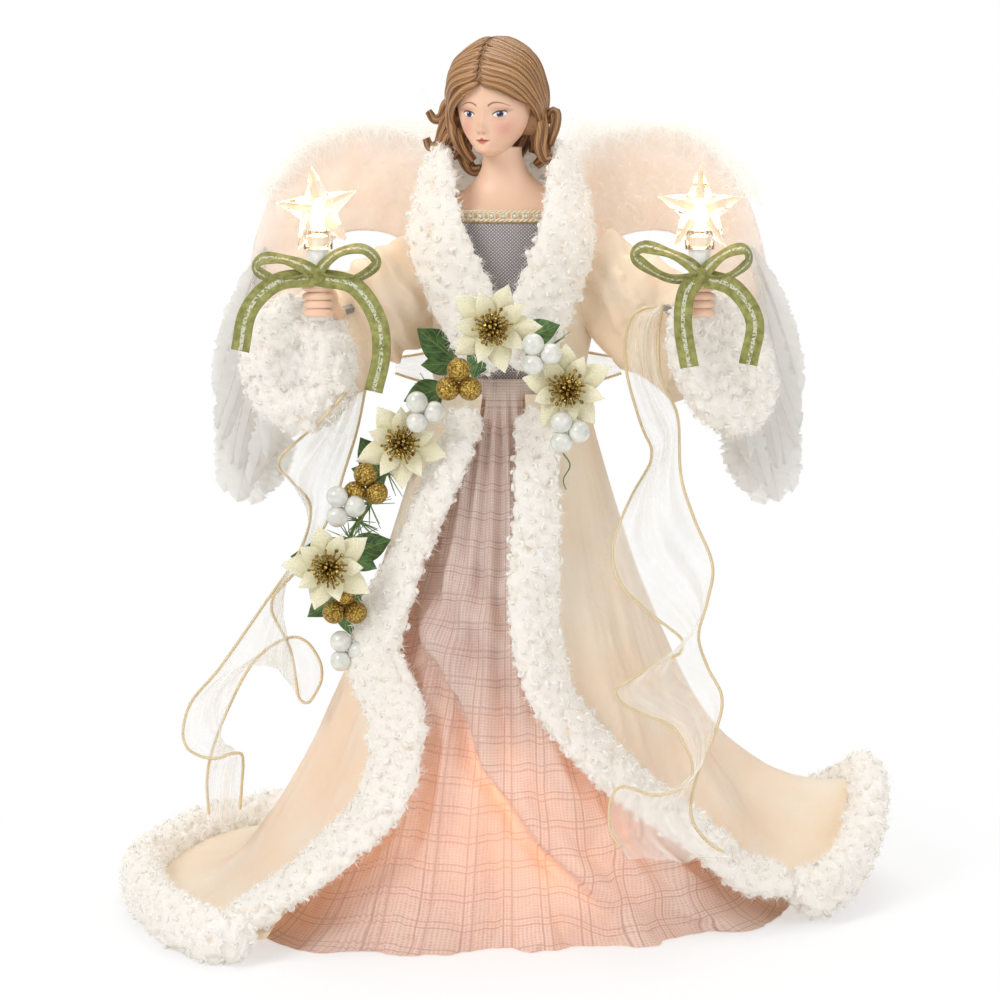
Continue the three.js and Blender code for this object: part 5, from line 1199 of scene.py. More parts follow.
def hair():
    locks, marks = [], []

    def add(points, *args, **more):
        shape, mark = lock_shape(in_head(points), *args, **more)
        locks.append(shape)
        marks.append(mark)

    def swept(way, lift, wide, thick, **more):
        """A lock that lies on the skull along a way of directions."""
        add(on_skull(way, lift), wide, thick, lift=unit(line(way, 46)), **more)

    # The cap under the locks
    lat, lon = np.radians(np.linspace(-38, 88, 34)), all_round(80)
    level, up = np.cos(lat)[:, None], np.sin(lat)[:, None]
    d = np.stack([level * np.sin(lon), level * np.cos(lon), up + 0 * lon], -1)
    cap = on_skull(d, mix(2.2, 4.6, ease(d[..., 1], 0, 0.5)))
    front = (cap[..., 1] < -4) & (cap[..., 2] < 13)
    cap = np.where(front[..., None], on_skull(d, -3.0), cap)
    locks.append(tube(in_head(cap)))
    # painted shade: the cap is marked low, so it takes the darkest hair colour under the locks
    marks.append(np.full((len(locks[0][0]), 3), 0.15))
    # Sweeps from the parting over each side of the head
    for side in (-1, 1):
        for k in range(11):
            s = k / 10
            start = unit(vec(0.012 * side - 0.03, mix(-0.82, 0.35, s), mix(0.62, 1.0, s)))
            way = np.array([
                start,
                unit(vec(side * mix(0.55, 0.62, s), mix(-0.74, 0.35, s), mix(0.5, 0.85, s))),
                unit(vec(side * 1.0, mix(-0.42, 0.45, s), mix(0.12, 0.35, s))),
                unit(vec(side * mix(0.98, 0.8, s), mix(0.02, 0.75, s), mix(-0.25, -0.15, s))),
                unit(vec(side * mix(0.8, 0.45, s), mix(0.5, 0.95, s), mix(-0.5, -0.5, s))),
            ])
            lift = np.array([2.6, 3.4, 3.0, 2.4, 1.8]) + 0.35 * (k % 2)
            swept(way, lift, 4.2, 2.4, grooves=7, twist=0.5, seed=k * 1.7 + side, tail=0.7)
    # Falls from the crown down the back of the head
    for k in range(9):
        s = (k - 4) / 4
        rows = [(0.08, 0.2, 1.0), (0.42, 0.72, 0.75), (0.7, 1.0, 0.3), (0.78, 1.0, -0.1), (0.66, 0.9, -0.5)]
        way = unit(np.array(rows) * [s, 1, 1])
        lift = np.array([2.6, 5.0, 5.4, 5.0, 4.6]) + 0.4 * (k % 2)
        swept(way, lift, 4.6, 2.4, grooves=7, twist=0.5, seed=k * 1.3, tail=0.85)
    # Bangs that frame the face
    for side, rows in (
        (1, [(0.0, -0.88, 0.5), (0.36, -0.86, 0.42), (0.7, -0.68, 0.22), (0.98, -0.3, 0.02), (1.0, 0.1, -0.2)]),
        (1, [(0.02, -0.84, 0.58), (0.44, -0.8, 0.5), (0.8, -0.56, 0.3), (1.0, -0.16, 0.1), (0.98, 0.2, -0.15)]),
        (-1, [(-0.02, -0.88, 0.5), (-0.34, -0.88, 0.36), (-0.66, -0.74, 0.1), (-0.88, -0.46, -0.2),
              (-0.94, -0.2, -0.5)]),
        (-1, [(-0.05, -0.84, 0.58), (-0.46, -0.8, 0.44), (-0.82, -0.56, 0.16), (-0.98, -0.2, -0.12),
              (-0.98, 0.1, -0.4)]),
    ):
        lift = np.array([1.2, 2.0, 2.4, 2.6, 2.4])
        swept(unit(np.array(rows)), lift, 2.7, 2.1, grooves=4, twist=0.4, seed=side, tail=0.5)
    # Curls beside the neck and behind
    curls = [
        (
            4.6, 3.8,
            [[-1.0, 0.0, 0.15], [-1.16, 0.0, -0.15], [-1.12, -0.05, -0.5], [-0.98, 0.0, -0.78], [-0.72, 0.05, -1.02]]
        ),
        (3.6, 3.2, [[-0.95, 0.3, 0.1], [-1.25, 0.3, 0.02], [-1.5, 0.3, -0.06], [-1.64, 0.3, -0.26], [-1.86, 0.3, -0.3],
                    [-2.02, 0.3, -0.16]]),
        (3.7, 3.2, [[-0.95, 0.3, -0.15], [-1.2, 0.35, -0.3], [-1.46, 0.3, -0.28], [-1.62, 0.3, -0.5],
                    [-1.76, 0.3, -0.74], [-2.0, 0.3, -0.8], [-2.1, 0.3, -0.64]]),
        (3.7, 3.3, [[-0.9, 0.2, -0.4], [-1.12, 0.15, -0.6], [-1.36, 0.15, -0.58], [-1.5, 0.2, -0.78],
                    [-1.32, 0.2, -0.94], [-1.14, 0.15, -0.84]]),
        (
            4.4, 3.6,
            [[-0.9, 0.3, -0.5], [-1.1, 0.35, -0.78], [-1.04, 0.3, -1.04], [-0.8, 0.2, -1.2], [-0.52, 0.1, -1.16]]
        ),
        (
            4.8, 3.8,
            [[0.98, 0.1, -0.1], [1.04, 0.15, -0.45], [1.06, 0.15, -0.78], [1.2, 0.15, -0.98], [1.4, 0.15, -0.98]]
        ),
        (3.4, 3.0, [[0.96, 0.4, -0.1], [1.2, 0.4, -0.28], [1.4, 0.35, -0.2], [1.42, 0.3, -0.42], [1.26, 0.35, -0.76]]),
        (4.2, 3.4, [[0.9, 0.5, -0.4], [1.06, 0.45, -0.72], [1.02, 0.4, -1.0], [0.84, 0.35, -1.14]]),
        (6.0, 4.6, [[-0.4, 1.0, -0.2], [-0.5, 1.2, -0.6], [-0.35, 1.15, -1.05]]),
        (6.2, 4.8, [[0.1, 1.05, -0.2], [0.15, 1.28, -0.65], [-0.05, 1.2, -1.1]]),
        (5.8, 4.4, [[0.55, 0.95, -0.2], [0.65, 1.15, -0.6], [0.5, 1.1, -1.0]]),
    ]
    head_size = [18, 22.5, 26]
    for k, (wide, thick, rows) in enumerate(curls):
        add(np.array(rows) * head_size, wide, thick, grooves=5, twist=1.3, seed=k * 2.3, tail=0.5)
    strands = {"strand": np.vstack(marks)}
    shape = join_shapes(locks)
    outward(piece("hair_locks", *shape, hair_paint, slot="painted_hair", stands_for=["hair"], marks=strands))


def bodice():
    z = np.linspace(319, 246, 80)[None]
    turn = np.linspace(66, -66, 120)[:, None]
    p = wrapped(z + 0 * turn, turn + 0 * z, 2.3)
    weave = np.stack([(turn * 0.62 + z) * 0.8, (turn * 0.62 - z) * 0.8, 0 * z + 0 * turn], -1)
    obj = cloth_grid(p, "bodice_cloth", bodice_weave, "bodice_weave", ["bodice"], marks={"weave": weave})
    declare_sheet(obj, p, "stretched", ["torso_block", "bust"])
    # Braid: two twisted rows with loops between them, and a pearl in every third loop
    braid_z = 322.7
    a = np.linspace(-50, 50, 220)
    shapes = []
    for high, phase in ((1.9, 0.0), (-1.9, 1.5)):
        for strand in (0, np.pi):
            turn = a * 0.9 + phase + strand
            path = wrapped(braid_z + high + 0.55 * np.sin(turn), a, 1.1 + 0.5 * np.cos(turn))
            shapes.append(tube(band(path, unit(path * [1, 1, 0]), 0.5, 0.5, 5)))
    for at in np.arange(-48, 49, 4.0):
        ring = all_round(14)
        path = wrapped(braid_z + 1.75 * np.sin(ring), at + 2.3 * np.cos(ring), 1.3)
        shapes.append(tube(band(path, unit(path * [1, 1, 0]), 0.34, 0.34, 5, True), True))
    piece("neckline_braid_loops", *join_shapes(shapes), gimp, slot="gimp_braid", stands_for=["neckline_braid"])
    pearls = [ball(wrapped(np.float64(braid_z), at, 1.9), 0.95, 12, 8) for at in np.arange(-44, 45, 8.0)]
    piece("neckline_pearls", *join_shapes(pearls), pearl, slot="pearl_white")


# Wings
ROOT_X, SPAN_X, WING_TOP, WING_TIP, WING_Y, SWEEP = 14.0, 128.0, 362.0, 215.0, 34.0, 14.0
# the pad's two edges, in shares of the span and of the height
PAD_OUTER = [
    [0, 0.62], [0.14, 0.9], [0.34, 1.0], [0.62, 0.99], [0.82, 0.86], [0.94, 0.66], [0.99, 0.42], [1.02, 0.16],
    [0.98, 0],
]
PAD_INNER = [
    [0, 0.44], [0.14, 0.56], [0.29, 0.63], [0.42, 0.67], [0.58, 0.66], [0.7, 0.56], [0.79, 0.36], [0.84, 0.16],
    [0.9, 0],
]


def on_wing(side, shares, back=0.0):
    span, high = np.atleast_2d(np.array(shares, float)).T
    x = side * (ROOT_X + span * (SPAN_X - ROOT_X))
    return np.stack([x, WING_Y + SWEEP * np.maximum(0, span) ** 2 + back, WING_TIP + high * (WING_TOP - WING_TIP)], 1)


def feather_shape(root, tip, half_wide, bend, seed):
    """One feather: a shaft and a cupped vane with split, uneven edges."""
    pick = np.random.default_rng(seed)
    steps, across = 60, 13
    t = np.linspace(0, 1, steps)
    along = tip - root
    side = unit(vec(along[2], 0, -along[0]))
    middle = root + along * t[:, None] + side * (bend * np.sin(np.pi * t) * 4)[:, None]
    wide = half_wide * smooth([0, 0.12, 0.45, 0.82, 0.95, 1], [0.15, 0.5, 0.95, 0.72, 0.36, 0.04], t)
    ragged = 1 + 0.08 * pick.normal(size=(steps, 2)) - 0.25 * (pick.random((steps, 2)) > 0.9)
    s = np.linspace(-1, 1, across)
    edge = np.where(s[None] < 0, ragged[:, :1], ragged[:, 1:])
    vane = middle[:, None] + side * (wide[:, None] * s[None] * mix(1, edge, np.abs(s)[None] ** 3))[..., None]
    vane = vane + unit(along) * (2.6 * np.abs(s)[None] * wide[:, None] / half_wide)[..., None]
    vane[..., 1] += 1.7 * s[None] ** 2 + 0.25 * np.sin(t[:, None] * 70 + 3 * s[None])
    mark = np.stack([(t[:, None] * 80 - np.abs(s)[None] * 6), s[None] + 0 * t[:, None], 0 * t[:, None] * s], -1)
    shaft = tube(band(middle + vec(0, -0.4, 0), (0, 1, 0), 0.45 * (1.1 - t), 0.45 * (1.1 - t), 6))
    return (vane.reshape(-1, 3), sheet_faces(steps, across)), mark.reshape(-1, 3), shaft


def wings():
    # root and tip of each feather, in shares of the span and of the height
    behind = [
        (0.84, 0.6, 1.08, 0.14), (0.92, 0.38, 1.12, -0.06), (0.93, 0.2, 1.1, -0.2), (0.9, 0.1, 0.98, -0.24),
        (0.85, 0.18, 0.86, -0.14), (0.8, 0.74, 1.05, 0.34), (0.88, 0.5, 1.11, 0.04), (0.93, 0.3, 1.12, -0.14),
        (0.9, 0.14, 1.04, -0.23), (0.88, 0.12, 0.92, -0.2),
    ]
    over = [
        (0.9, 0.62, 1.1, 0.2), (0.95, 0.5, 1.12, 0.02), (0.9, 0.4, 1.06, -0.1), (0.82, 0.36, 0.98, -0.17),
        (0.76, 0.42, 0.9, -0.08), (0.7, 0.5, 0.84, 0.06),
    ]
    between = [tuple((np.array(a) + np.array(b)) / 2 + (0, 0, 0.01, 0.02)) for a, b in zip(over, over[1:])]
    for side, name in SIDES:
        outer, inner = line(on_wing(side, PAD_OUTER), 120), line(on_wing(side, PAD_INNER), 120)
        s = np.linspace(0, 1, 40)[None, :, None]
        flat = outer[:, None] * (1 - s) + inner[:, None] * s
        puff = 2.0 * np.sqrt(np.clip(np.sin(np.pi * s[..., 0]), 0, 1)) + 0.25
        ripple = lumps(flat, 9, 6 + side, 3) * 1.1
        front_face, back_face = flat.copy(), flat.copy()
        front_face[..., 1] -= puff + ripple
        back_face[..., 1] += puff + ripple * 0.5
        rings = np.concatenate([front_face, back_face[:, ::-1]], 1)
        inward = np.concatenate([s[0, :, 0], s[0, ::-1, 0]])
        inward = np.append(np.tile(inward, len(outer)), [0.5, 0.5])
        pad = piece(f"wing_pad_{name}_felt", *tube(rings), felt, slot="wing_felt", stands_for=[f"wing_pad_{name}"],
                    marks={"inward": thrice(inward)})
        outward(pad)
        vanes, marks, shafts = [], [], []
        for k, (ax, az, bx, bz) in enumerate(behind + over + between):
            lay, half_wide = (2.6 + 0.9 * (k % 4), 9.5) if k < len(behind) else (-3.9 - 1.1 * (k % 3), 7.2)
            root, tip = on_wing(side, (ax, az), lay)[0], on_wing(side, (bx, bz), lay)[0]
            vane, mark, shaft = feather_shape(root, tip, half_wide, side * (0.6 if k % 2 else -0.3), 50 + k + side)
            vanes.append(vane)
            marks.append(mark)
            shafts.append(shaft)
        barbs = {"barb": np.vstack(marks + [np.zeros((len(p), 3)) for p, _ in shafts])}
        piece(f"wing_{name}_feathers", *join_shapes(vanes + shafts), feather_white, slot="white_feather",
              stands_for=[f"wing_flight_feathers_{name}"], marks=barbs)
        path = line(outer[5:68], 60)
        across = headings_of(path, (0, 1, 0))[2]
        out = across * np.sign(np.sum(across * (path - vec(side * 60, 0, 270)), 1, keepdims=True))
        core = path + out * 4.0 + vec(0, -2.2, 0)
        off = round_ends(60, 0.1)
        rings = band(core, (0, 1, 0), 4.2 * off, 2.6 * off, 12)
        slot = "white_down"
        base = outward(piece(f"wing_down_{name}_core", *tube(rings), down, slot=slot, stands_for=[f"wing_down_{name}"]))
        grow_on(base, plume_tuft, f"wing_down_{name}_fluff", down, 1.9, 60 + side, (0.7, 1.25), 0.6, slot)
        grow_on(pad, plume_tuft, f"wing_pad_{name}_fuzz", down, 4.6, 64 + side, (0.25, 0.5), 0.9, slot)


# Hands, lamps and bows
def hands():
    rounded = round_ends(14, 0.3)
    for side, name in SIDES:
        cx, cy, cz = side * HAND_X, HAND_Y, HAND_Z
        shapes = [ball(vec(cx - side * 2.0, cy + 1.9, cz), 1, 32, 20, (6.8, 6.2, 7.0))]
        for k in (-1.5, -0.5, 0.5, 1.5):
            s = np.linspace(-1.3, 1.25, 14)
            path = np.stack([cx + np.sin(s) * 6.8, cy - np.cos(s) * 6.8, cz + k * 3.7 + 0 * s], 1)
            shapes.append(tube(band(path, (0.1, 0.2, 1), 1.75 * rounded, 1.9 * rounded, 12)))
        thumb = [
            [cx - side * 4, cy - 2, cz + 2], [cx - side * 1.5, cy - 7.6, cz + 6.5],
            [cx + side * 2.5, cy - 8.0, cz + 7.2]
        ]
        shapes.append(tube(band(line(thumb, 14), (0, -1, 0), 1.8 * rounded, 1.8 * rounded, 12)))
        wrist = line([[side * 78, -36, 278], [cx - side * 2, cy + 2, cz]], 8)
        shapes.append(tube(band(wrist, (0, 0, 1), 4.6, 4.6, 16)))
        piece(f"hand_{name}_cast", *join_shapes(shapes), skin_plain, slot="painted_skin", stands_for=[f"hand_{name}"])


# radius and height of each ring
STAR_NECK = np.array([[6.5, 308.6], [6.5, 314.0], [6.0, 317.0], [5.4, 317.0], [5.4, 308.6]])
BULB_RINGS = np.array([[3.5, 303.5], [3.5, 314.2], [2.7, 315], [2.8, 322], [2.6, 326], [1.6, 329.6], [0.5, 330.9]])


def turned_rings(rows, cx, cy, count):
    """Rings of a turned piece round an upright line."""
    a = all_round(count)
    return np.stack([cx + rows[:, :1] * np.cos(a), cy + rows[:, :1] * np.sin(a), rows[:, 1:] + 0 * a], -1)


def stars():
    for (side, name), turn, roll in zip(SIDES, (20, -6), (-8, 0)):
        cx, cy = side * HAND_X, HAND_Y
        centre = vec(cx, cy, 326)
        glass = lit(f"clear_star_{name}", centre, shade(255, 248, 238), 0.45, 6.5, Transmission_Weight=1.0, IOR=1.36)
        spin = rotate_z(turn) @ rotate_y(roll)
        points = [[0, -7.0, 0]]
        for k in range(10):
            r = 20 * (0.44 if k % 2 else 1)
            a = 2 * np.pi * k / 10
            points.append([r * np.sin(a), -1.1, r * np.cos(a)])
        points += [[x, 1.1, z] for x, _, z in points[1:11]] + [[0, 7.0, 0]]
        faces = []
        for k in range(10):
            a, b = 1 + k, 1 + (k + 1) % 10
            faces += [[0, a, b], [a, a + 10, b + 10, b], [21, b + 10, a + 10]]
        obj = piece(f"star_cover_{name}_glass", np.array(points, float) @ spin.T + centre, faces, glass,
                    body=f"star_{name}", slot="clear_star", stands_for=[f"star_cover_{name}"], flat=True)
        edge = outward(obj).modifiers.new("soft_edges", "BEVEL")
        edge.width, edge.segments, edge.limit_method, edge.angle_limit = 0.0007, 3, "ANGLE", 0.2
        mesh = baked(obj)
        obj.modifiers.clear()
        obj.data = mesh
        rings = turned_rings(STAR_NECK, cx, cy, 40)
        outward(piece(f"star_collar_{name}", *tube(rings, True), glass, body=f"star_{name}", slot="clear_star"))
        outward(piece(f"lamp_bulb_{name}_glass", *tube(turned_rings(BULB_RINGS, cx, cy, 32)), bulb_glass,
                      body=f"bulb_{name}", slot="lamp_glass", stands_for=[f"lamp_bulb_{name}"]))


def strap(points, half, thick, closed, steps, out=None):
    """A ribbon along a line, with marks across it, and the thin roll at each of its edges."""
    p = np.array(points, float)
    path = line(p, steps, closed)
    if out is None:
        away = path - p.mean(0)
        out = np.stack([away[:, 0], -0.5 * np.linalg.norm(away, axis=1), away[:, 2]], 1)
    u = np.linspace(-1, 1, 11)
    section = np.concatenate([np.stack([u, 0 * u + 1], 1), np.stack([u[::-1], 0 * u - 1], 1)])
    rings = band(path, out, half, thick, 22, closed, section)
    mark = np.zeros(rings.shape)
    mark[..., 1] = section[:, 0]
    mark = mark.reshape(-1, 3)
    if not closed:
        mark = np.vstack([mark, np.zeros((2, 3))])
    _, out, across = headings_of(path, out, closed)
    edges = [tube(band(path + across * s * half, out, 0.45, 0.45, 8, closed), closed) for s in (-1, 1)]
    return tube(rings, closed), mark, edges


# each loop and tail in shares of BOW_REACH from the knot: right, back, up
BOW_REACH = 24.0
BOWS = {
    "left": (
        [
            [(-0.04, 0, 0.04), (-0.5, -0.03, 0.3), (-1.0, 0, 0.34), (-1.12, 0.02, 0.12), (-0.6, 0, -0.08)],
            [(0.04, 0, 0.04), (0.35, -0.03, 0.42), (0.85, 0, 0.52), (1.1, 0.02, 0.24), (0.62, 0, -0.06)],
        ],
        [
            [(-0.04, -0.02, 0), (-0.75, -0.12, -0.1), (-1.25, -0.24, -0.6), (-1.42, -0.3, -1.35)],
            [(0.04, -0.02, 0), (0.7, -0.14, -0.16), (1.12, -0.3, -0.75), (1.2, -0.36, -1.4), (1.05, -0.38, -2.1)],
        ],
    ),
    "right": (
        [
            [(-0.04, 0, 0.04), (-0.4, -0.03, 0.36), (-1.05, 0, 0.56), (-1.2, 0.02, 0.34), (-0.6, 0, -0.02)],
            [(0.04, 0, 0.04), (0.42, -0.03, 0.42), (0.8, 0, 0.52), (0.86, 0.02, 0.26), (0.4, 0, -0.04)],
        ],
        [
            [(-0.04, -0.02, 0), (-0.28, -0.14, -0.3), (-0.34, -0.26, -0.9), (-0.22, -0.34, -1.65)],
            [(0.04, -0.02, 0), (0.6, -0.16, -0.2), (0.98, -0.3, -0.8), (0.86, -0.36, -1.6)],
        ],
    ),
}


def bows():
    front, kz = HAND_Y - 5 - 0.35, HAND_Z + 7 + 3.6
    for side, name in SIDES:
        cx = side * HAND_X
        place = lambda shares: vec(cx, front - 4, kz) + np.array(shares) * BOW_REACH
        loops, tails = BOWS[name]
        made = [strap(place(shares), 3.5, 0.35, True, 90) for shares in loops]
        made += [strap(place(shares), 3.7, 0.35, False, 80, (0, -1, 0.2)) for shares in tails]
        runs, marks, rolls = zip(*made)
        edges = [roll for pair in rolls for roll in pair]
        knot = ball(vec(cx, front - 3.4, kz), 1, 24, 14, (4.8, 3.4, 4.2))
        strip = np.vstack([*marks, np.full((len(knot[0]), 3), 0.6)])
        outward(piece(f"bow_{name}_ribbon", *join_shapes([*runs, knot]), ribbon_green, slot="green_ribbon",
                      stands_for=[f"bow_{name}"], marks={"strip": strip}))
        strip = np.full((sum(len(p) for p, _ in edges), 3), 0.9)
        piece(f"bow_{name}_edging", *join_shapes(edges), ribbon_green, slot="green_ribbon", marks={"strip": strip})


# Garland
GARLAND_HIGH = HEAD_Z * 1.104
# places on the garland, in shares of HALF_WIDTH and of GARLAND_HIGH; leaves also have a turn and a size
VINE = [
    [0.16, 0.59], [0.15, 0.625], [0.06, 0.645], [-0.045, 0.655], [-0.13, 0.625], [-0.21, 0.575], [-0.3, 0.53],
    [-0.37, 0.475], [-0.44, 0.43], [-0.47, 0.38], [-0.46, 0.33],
]
FLOWER_TURNS = (0, 22, -18, -36)
GOLD = [(-0.135, 0.61), (-0.395, 0.49), (-0.455, 0.357)]
PEARLS = [(0.08, 0.64), (0.157, 0.556), (-0.235, 0.574), (-0.455, 0.47), (-0.45, 0.307)]
LEAVES = [
    (-0.17, 0.63, 140, 1.0), (-0.04, 0.64, 250, 0.8), (-0.37, 0.49, 118, 0.9), (-0.28, 0.53, -40, 1.0),
    (-0.49, 0.4, 176, 1.0), (-0.45, 0.4, 20, 0.9), (-0.46, 0.36, 285, 0.9), (0.04, 0.66, 20, 0.8),
    (-0.2, 0.6, 200, 0.8), (-0.5, 0.36, 215, 0.8), (0.17, 0.6, 250, 0.7),
]
NEEDLES = [
    (-0.36, 0.5), (-0.2, 0.58), (-0.4, 0.46), (-0.43, 0.44), (-0.45, 0.42), (0.16, 0.57), (0.17, 0.55), (0.1, 0.638),
    (-0.14, 0.62),
]


def facing_way(turn):
    """A direction seen from the front, `turn` degrees anticlockwise from the right."""
    a = math.radians(turn)
    return vec(math.cos(a), 0, math.sin(a))


def blade_shape(base, turn, long, wide, cup, fold, twist=0.0, steps=22, across=11):
    """A petal or leaf seen from the front: it starts at base, points to `turn` and cups towards the eye."""
    way = facing_way(turn)
    side = vec(-way[2], 0, way[0])
    t = np.linspace(0, 1, steps)[:, None]
    s = np.linspace(-1, 1, across)[None]
    half = wide / 2 * smooth([0, 0.15, 0.45, 0.75, 0.92, 1], [0.18, 0.6, 1, 0.66, 0.22, 0.02], t)
    p = base + way * (long * t + 0 * s)[..., None] + side * (half * s)[..., None]
    p[..., 1] += -cup * t**2 + fold * (np.abs(s) - 0.5) * half / wide * 2 - twist * s * t
    mark = np.stack([t + 0 * s, s + 0 * t, 0 * t * s], -1)
    both = np.concatenate([p, p[:, ::-1] + vec(0, 0.5, 0)], 1)
    marks = np.concatenate([mark, mark[:, ::-1]], 1)
    return tube(both), np.vstack([marks.reshape(-1, 3), [[0, 0, 0], [1, 0, 0]]])


def box_in_mm(node):
    low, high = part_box(node)
    return np.array((low + high) / 2) / MM, np.array(low) / MM


def garland():
    vine_points = []
    for x, high in VINE:
        x, z = x * HALF_WIDTH, high * GARLAND_HIGH
        vine_points.append([x, in_front(x, z, vine_points[-1][1] if vine_points else -60) - 1.6, z])
    path = line(vine_points, 120)
    wiggle = np.stack([0 * path[:, 0], 0.4 * np.sin(np.arange(120) * 0.7), 0.9 * np.cos(np.arange(120) * 0.45)], 1)
    shapes = [tube(band(path + wiggle, (0.2, 1, 0.1), 0.9, 0.9, 8))]
    near = lambda x, high: path[np.argmin(np.hypot(path[:, 0] - x * HALF_WIDTH, path[:, 2] - high * GARLAND_HIGH))]
    leaf_shapes, leaf_marks = [], []
    for k, (x, high, turn, big) in enumerate(LEAVES):
        for off, size in ((0, big), (42, 0.7 * big)):
            shape, mark = blade_shape(
                near(x, high) - vec(0, 1.0, 0), turn + off * (-1) ** k, 25 * size, 15.5 * size, 3.4, 2.4
            )
            leaf_shapes.append(shape)
            leaf_marks.append(mark)
    t = np.linspace(0, 1, 240)
    curl_r = 3 * (1 - t * 0.6) * np.minimum(1, 5 * t)
    a = 2 * np.pi * 3 * t
    start = np.array(vine_points[0])
    tendril = start + np.stack([curl_r * np.sin(a), -curl_r * np.cos(a) - 3 * t, -t * 44], 1)
    tendril[:, 1] = np.minimum(tendril[:, 1], min(in_front(x, z) for x, _, z in tendril[::12]) - 2.4)
    shapes.append(tube(band(tendril, (0.31, 0.17, 0.93), 0.55 * (1.1 - 0.6 * t), 0.55 * (1.1 - 0.6 * t), 7)))
    pick = np.random.default_rng(5)
    thin = 0.4 * np.linspace(1, 0.4, 6)
    for x, high in NEEDLES:
        root = near(x, high)
        for _ in range(22):
            a, lean, long = pick.uniform(0, 2 * np.pi), pick.uniform(-0.6, 0.1), pick.uniform(9, 15)
            end = root + long * unit(vec(math.cos(a), lean - 0.2, math.sin(a)))
            needle = line([root, (root + end) / 2 + vec(0, -0.6, 0), end], 6)
            shapes.append(tube(band(needle, (0.3, 0.2, 0.9), thin, thin, 5)))
    outward(piece("garland_vine_stems", *join_shapes(shapes), leaf, slot="green_foliage", stands_for=["garland_vine"]))
    blades = {"blade": np.vstack(leaf_marks)}
    outward(piece("garland_leaves", *join_shapes(leaf_shapes), leaf, slot="green_foliage", marks=blades))
    for k, turn in enumerate(FLOWER_TURNS):
        centre, low = box_in_mm(f"poinsettia_{k + 1}")
        centre[1] = low[1] + 3.2
        petals, marks = [], []
        for ring, (count, long, wide, cup, back) in enumerate(((5, 20.0, 11.5, 0.5, 1.2), (5, 15.5, 8.6, 3.0, -0.2))):
            for i in range(count):
                at = turn + 360 * (i + 0.5 * ring) / count + chance.uniform(-5, 5)
                base = centre + facing_way(at) * 1.2 + vec(0, back, 0)
                shape, mark = blade_shape(
                    base, at, long * chance.uniform(0.92, 1.06), wide, cup, 1.4, chance.uniform(-0.5, 0.5)
                )
                petals.append(shape)
                marks.append(mark)
        bloom = outward(piece(f"poinsettia_{k + 1}_petals", *join_shapes(petals), petal, slot="cream_petal",
                              stands_for=[f"poinsettia_{k + 1}"], marks={"blade": np.vstack(marks)}))
        grow_on(
            bloom, grain_tuft, f"poinsettia_{k + 1}_frost", frost, 1.25, 80 + k, (0.6, 1.2), 0.5, slot="cream_petal"
        )
        stamens = []
        for i in range(46):
            r = 8.8 * math.sqrt((i + 0.5) / 46) * chance.uniform(0.8, 1.1)
            a = i * 2.399
            foot = centre + vec(math.cos(a) * r * 0.25, -1.2, math.sin(a) * r * 0.25)
            end = centre + vec(math.cos(a) * r, -5.4 + 0.22 * r - 0.5 * (i % 3), math.sin(a) * r)
            stalk = line([foot, (foot + end) / 2 - vec(0, 0.8, 0), end], 5)
            stamens.append(tube(band(stalk, (0.3, 0.1, 0.9), 0.42, 0.42, 5)))
            stamens.append(ball(end, 0.7 + 0.25 * (i % 2), 7, 5))
        outward(piece(f"poinsettia_{k + 1}_stamens", *join_shapes(stamens), glitter, slot="gold_glitter"))
    for label, places, size, spread, turn, finish, slot in (
        ("gold_berries", GOLD, 5.3, 5.6, 0, glitter, "gold_glitter"),
        ("pearl_cluster", PEARLS, 4.9, 5.2, 30, pearl, "pearl_white"),
    ):
        for k, (x, high) in enumerate(places):
            y = box_in_mm(f"{label}_{k + 1}")[0][1]
            berries = []
            for i, a in enumerate((90, 210, 330)):
                at = vec(x * HALF_WIDTH, y - 0.8 * (i == 0), high * GARLAND_HIGH) + spread * facing_way(a + turn)
                berries.append(ball(at, size, 40, 24))
            node = f"{label}_{k + 1}"
            outward(piece(f"{node}_balls", *join_shapes(berries), finish, slot=slot, stands_for=[node]))


# Scarf
# Both edges of each fall seen from the front, [x, z] from the sleeve down, and how far forward it hangs free
FALLS = {
    "left": (
        [
            (-72, 246), (-90, 226), (-106, 211), (-101, 201), (-92, 188), (-97, 168), (-115, 141), (-133, 116),
            (-148, 97), (-150, 80), (-137, 74), (-124, 76), (-124, 59), (-125, 45)
        ],
        [
            (-66, 244), (-70, 224), (-76, 205), (-83, 184), (-96, 162), (-110, 144), (-101, 122), (-95, 99), (-86, 113),
            (-97, 128), (-115, 121), (-128, 100), (-139, 70), (-138, 44)
        ],
        ([40, 110, 170, 215, 250], [-40, -34, -20, -22, -16]),
    ),
    "right": (
        [
            (67, 282), (57, 279), (53, 266), (54, 250), (60, 229), (65, 214), (55, 195), (47, 176), (50, 160),
            (62, 147), (79, 132), (63, 124), (47, 113), (58, 104), (74, 97), (81, 80), (66, 72), (48, 74), (44, 58),
            (52, 46)
        ],
        [
            (70, 283), (68, 268), (69, 250), (77, 232), (78, 206), (84, 187), (92, 167), (89, 152), (85, 137),
            (89, 123), (95, 111), (92, 99), (85, 84), (80, 64), (86, 54), (97, 48)
        ],
        ([40, 110, 170, 215, 280], [-118, -80, -56, -42, -34]),
    ),
}


def edge_cords(name, paths, r=0.46, turn=1.85, facing=(0.3, -0.9, 0.2)):
    """Two-ply twisted cords along the scarf's edges; `turn` is the twist from one point to the next."""
    shapes = []
    for path in paths:
        _, out, across = headings_of(path, facing)
        t = np.arange(len(path)) * turn
        for ply in (0, np.pi):
            shift = across * (r * 0.8 * np.cos(t + ply))[:, None] + out * (r * 0.8 * np.sin(t + ply))[:, None]
            shapes.append(tube(band(path + shift, facing, r, r, 6)))
    return piece(name, *join_shapes(shapes), gold_cord, slot="sheer_scarf")


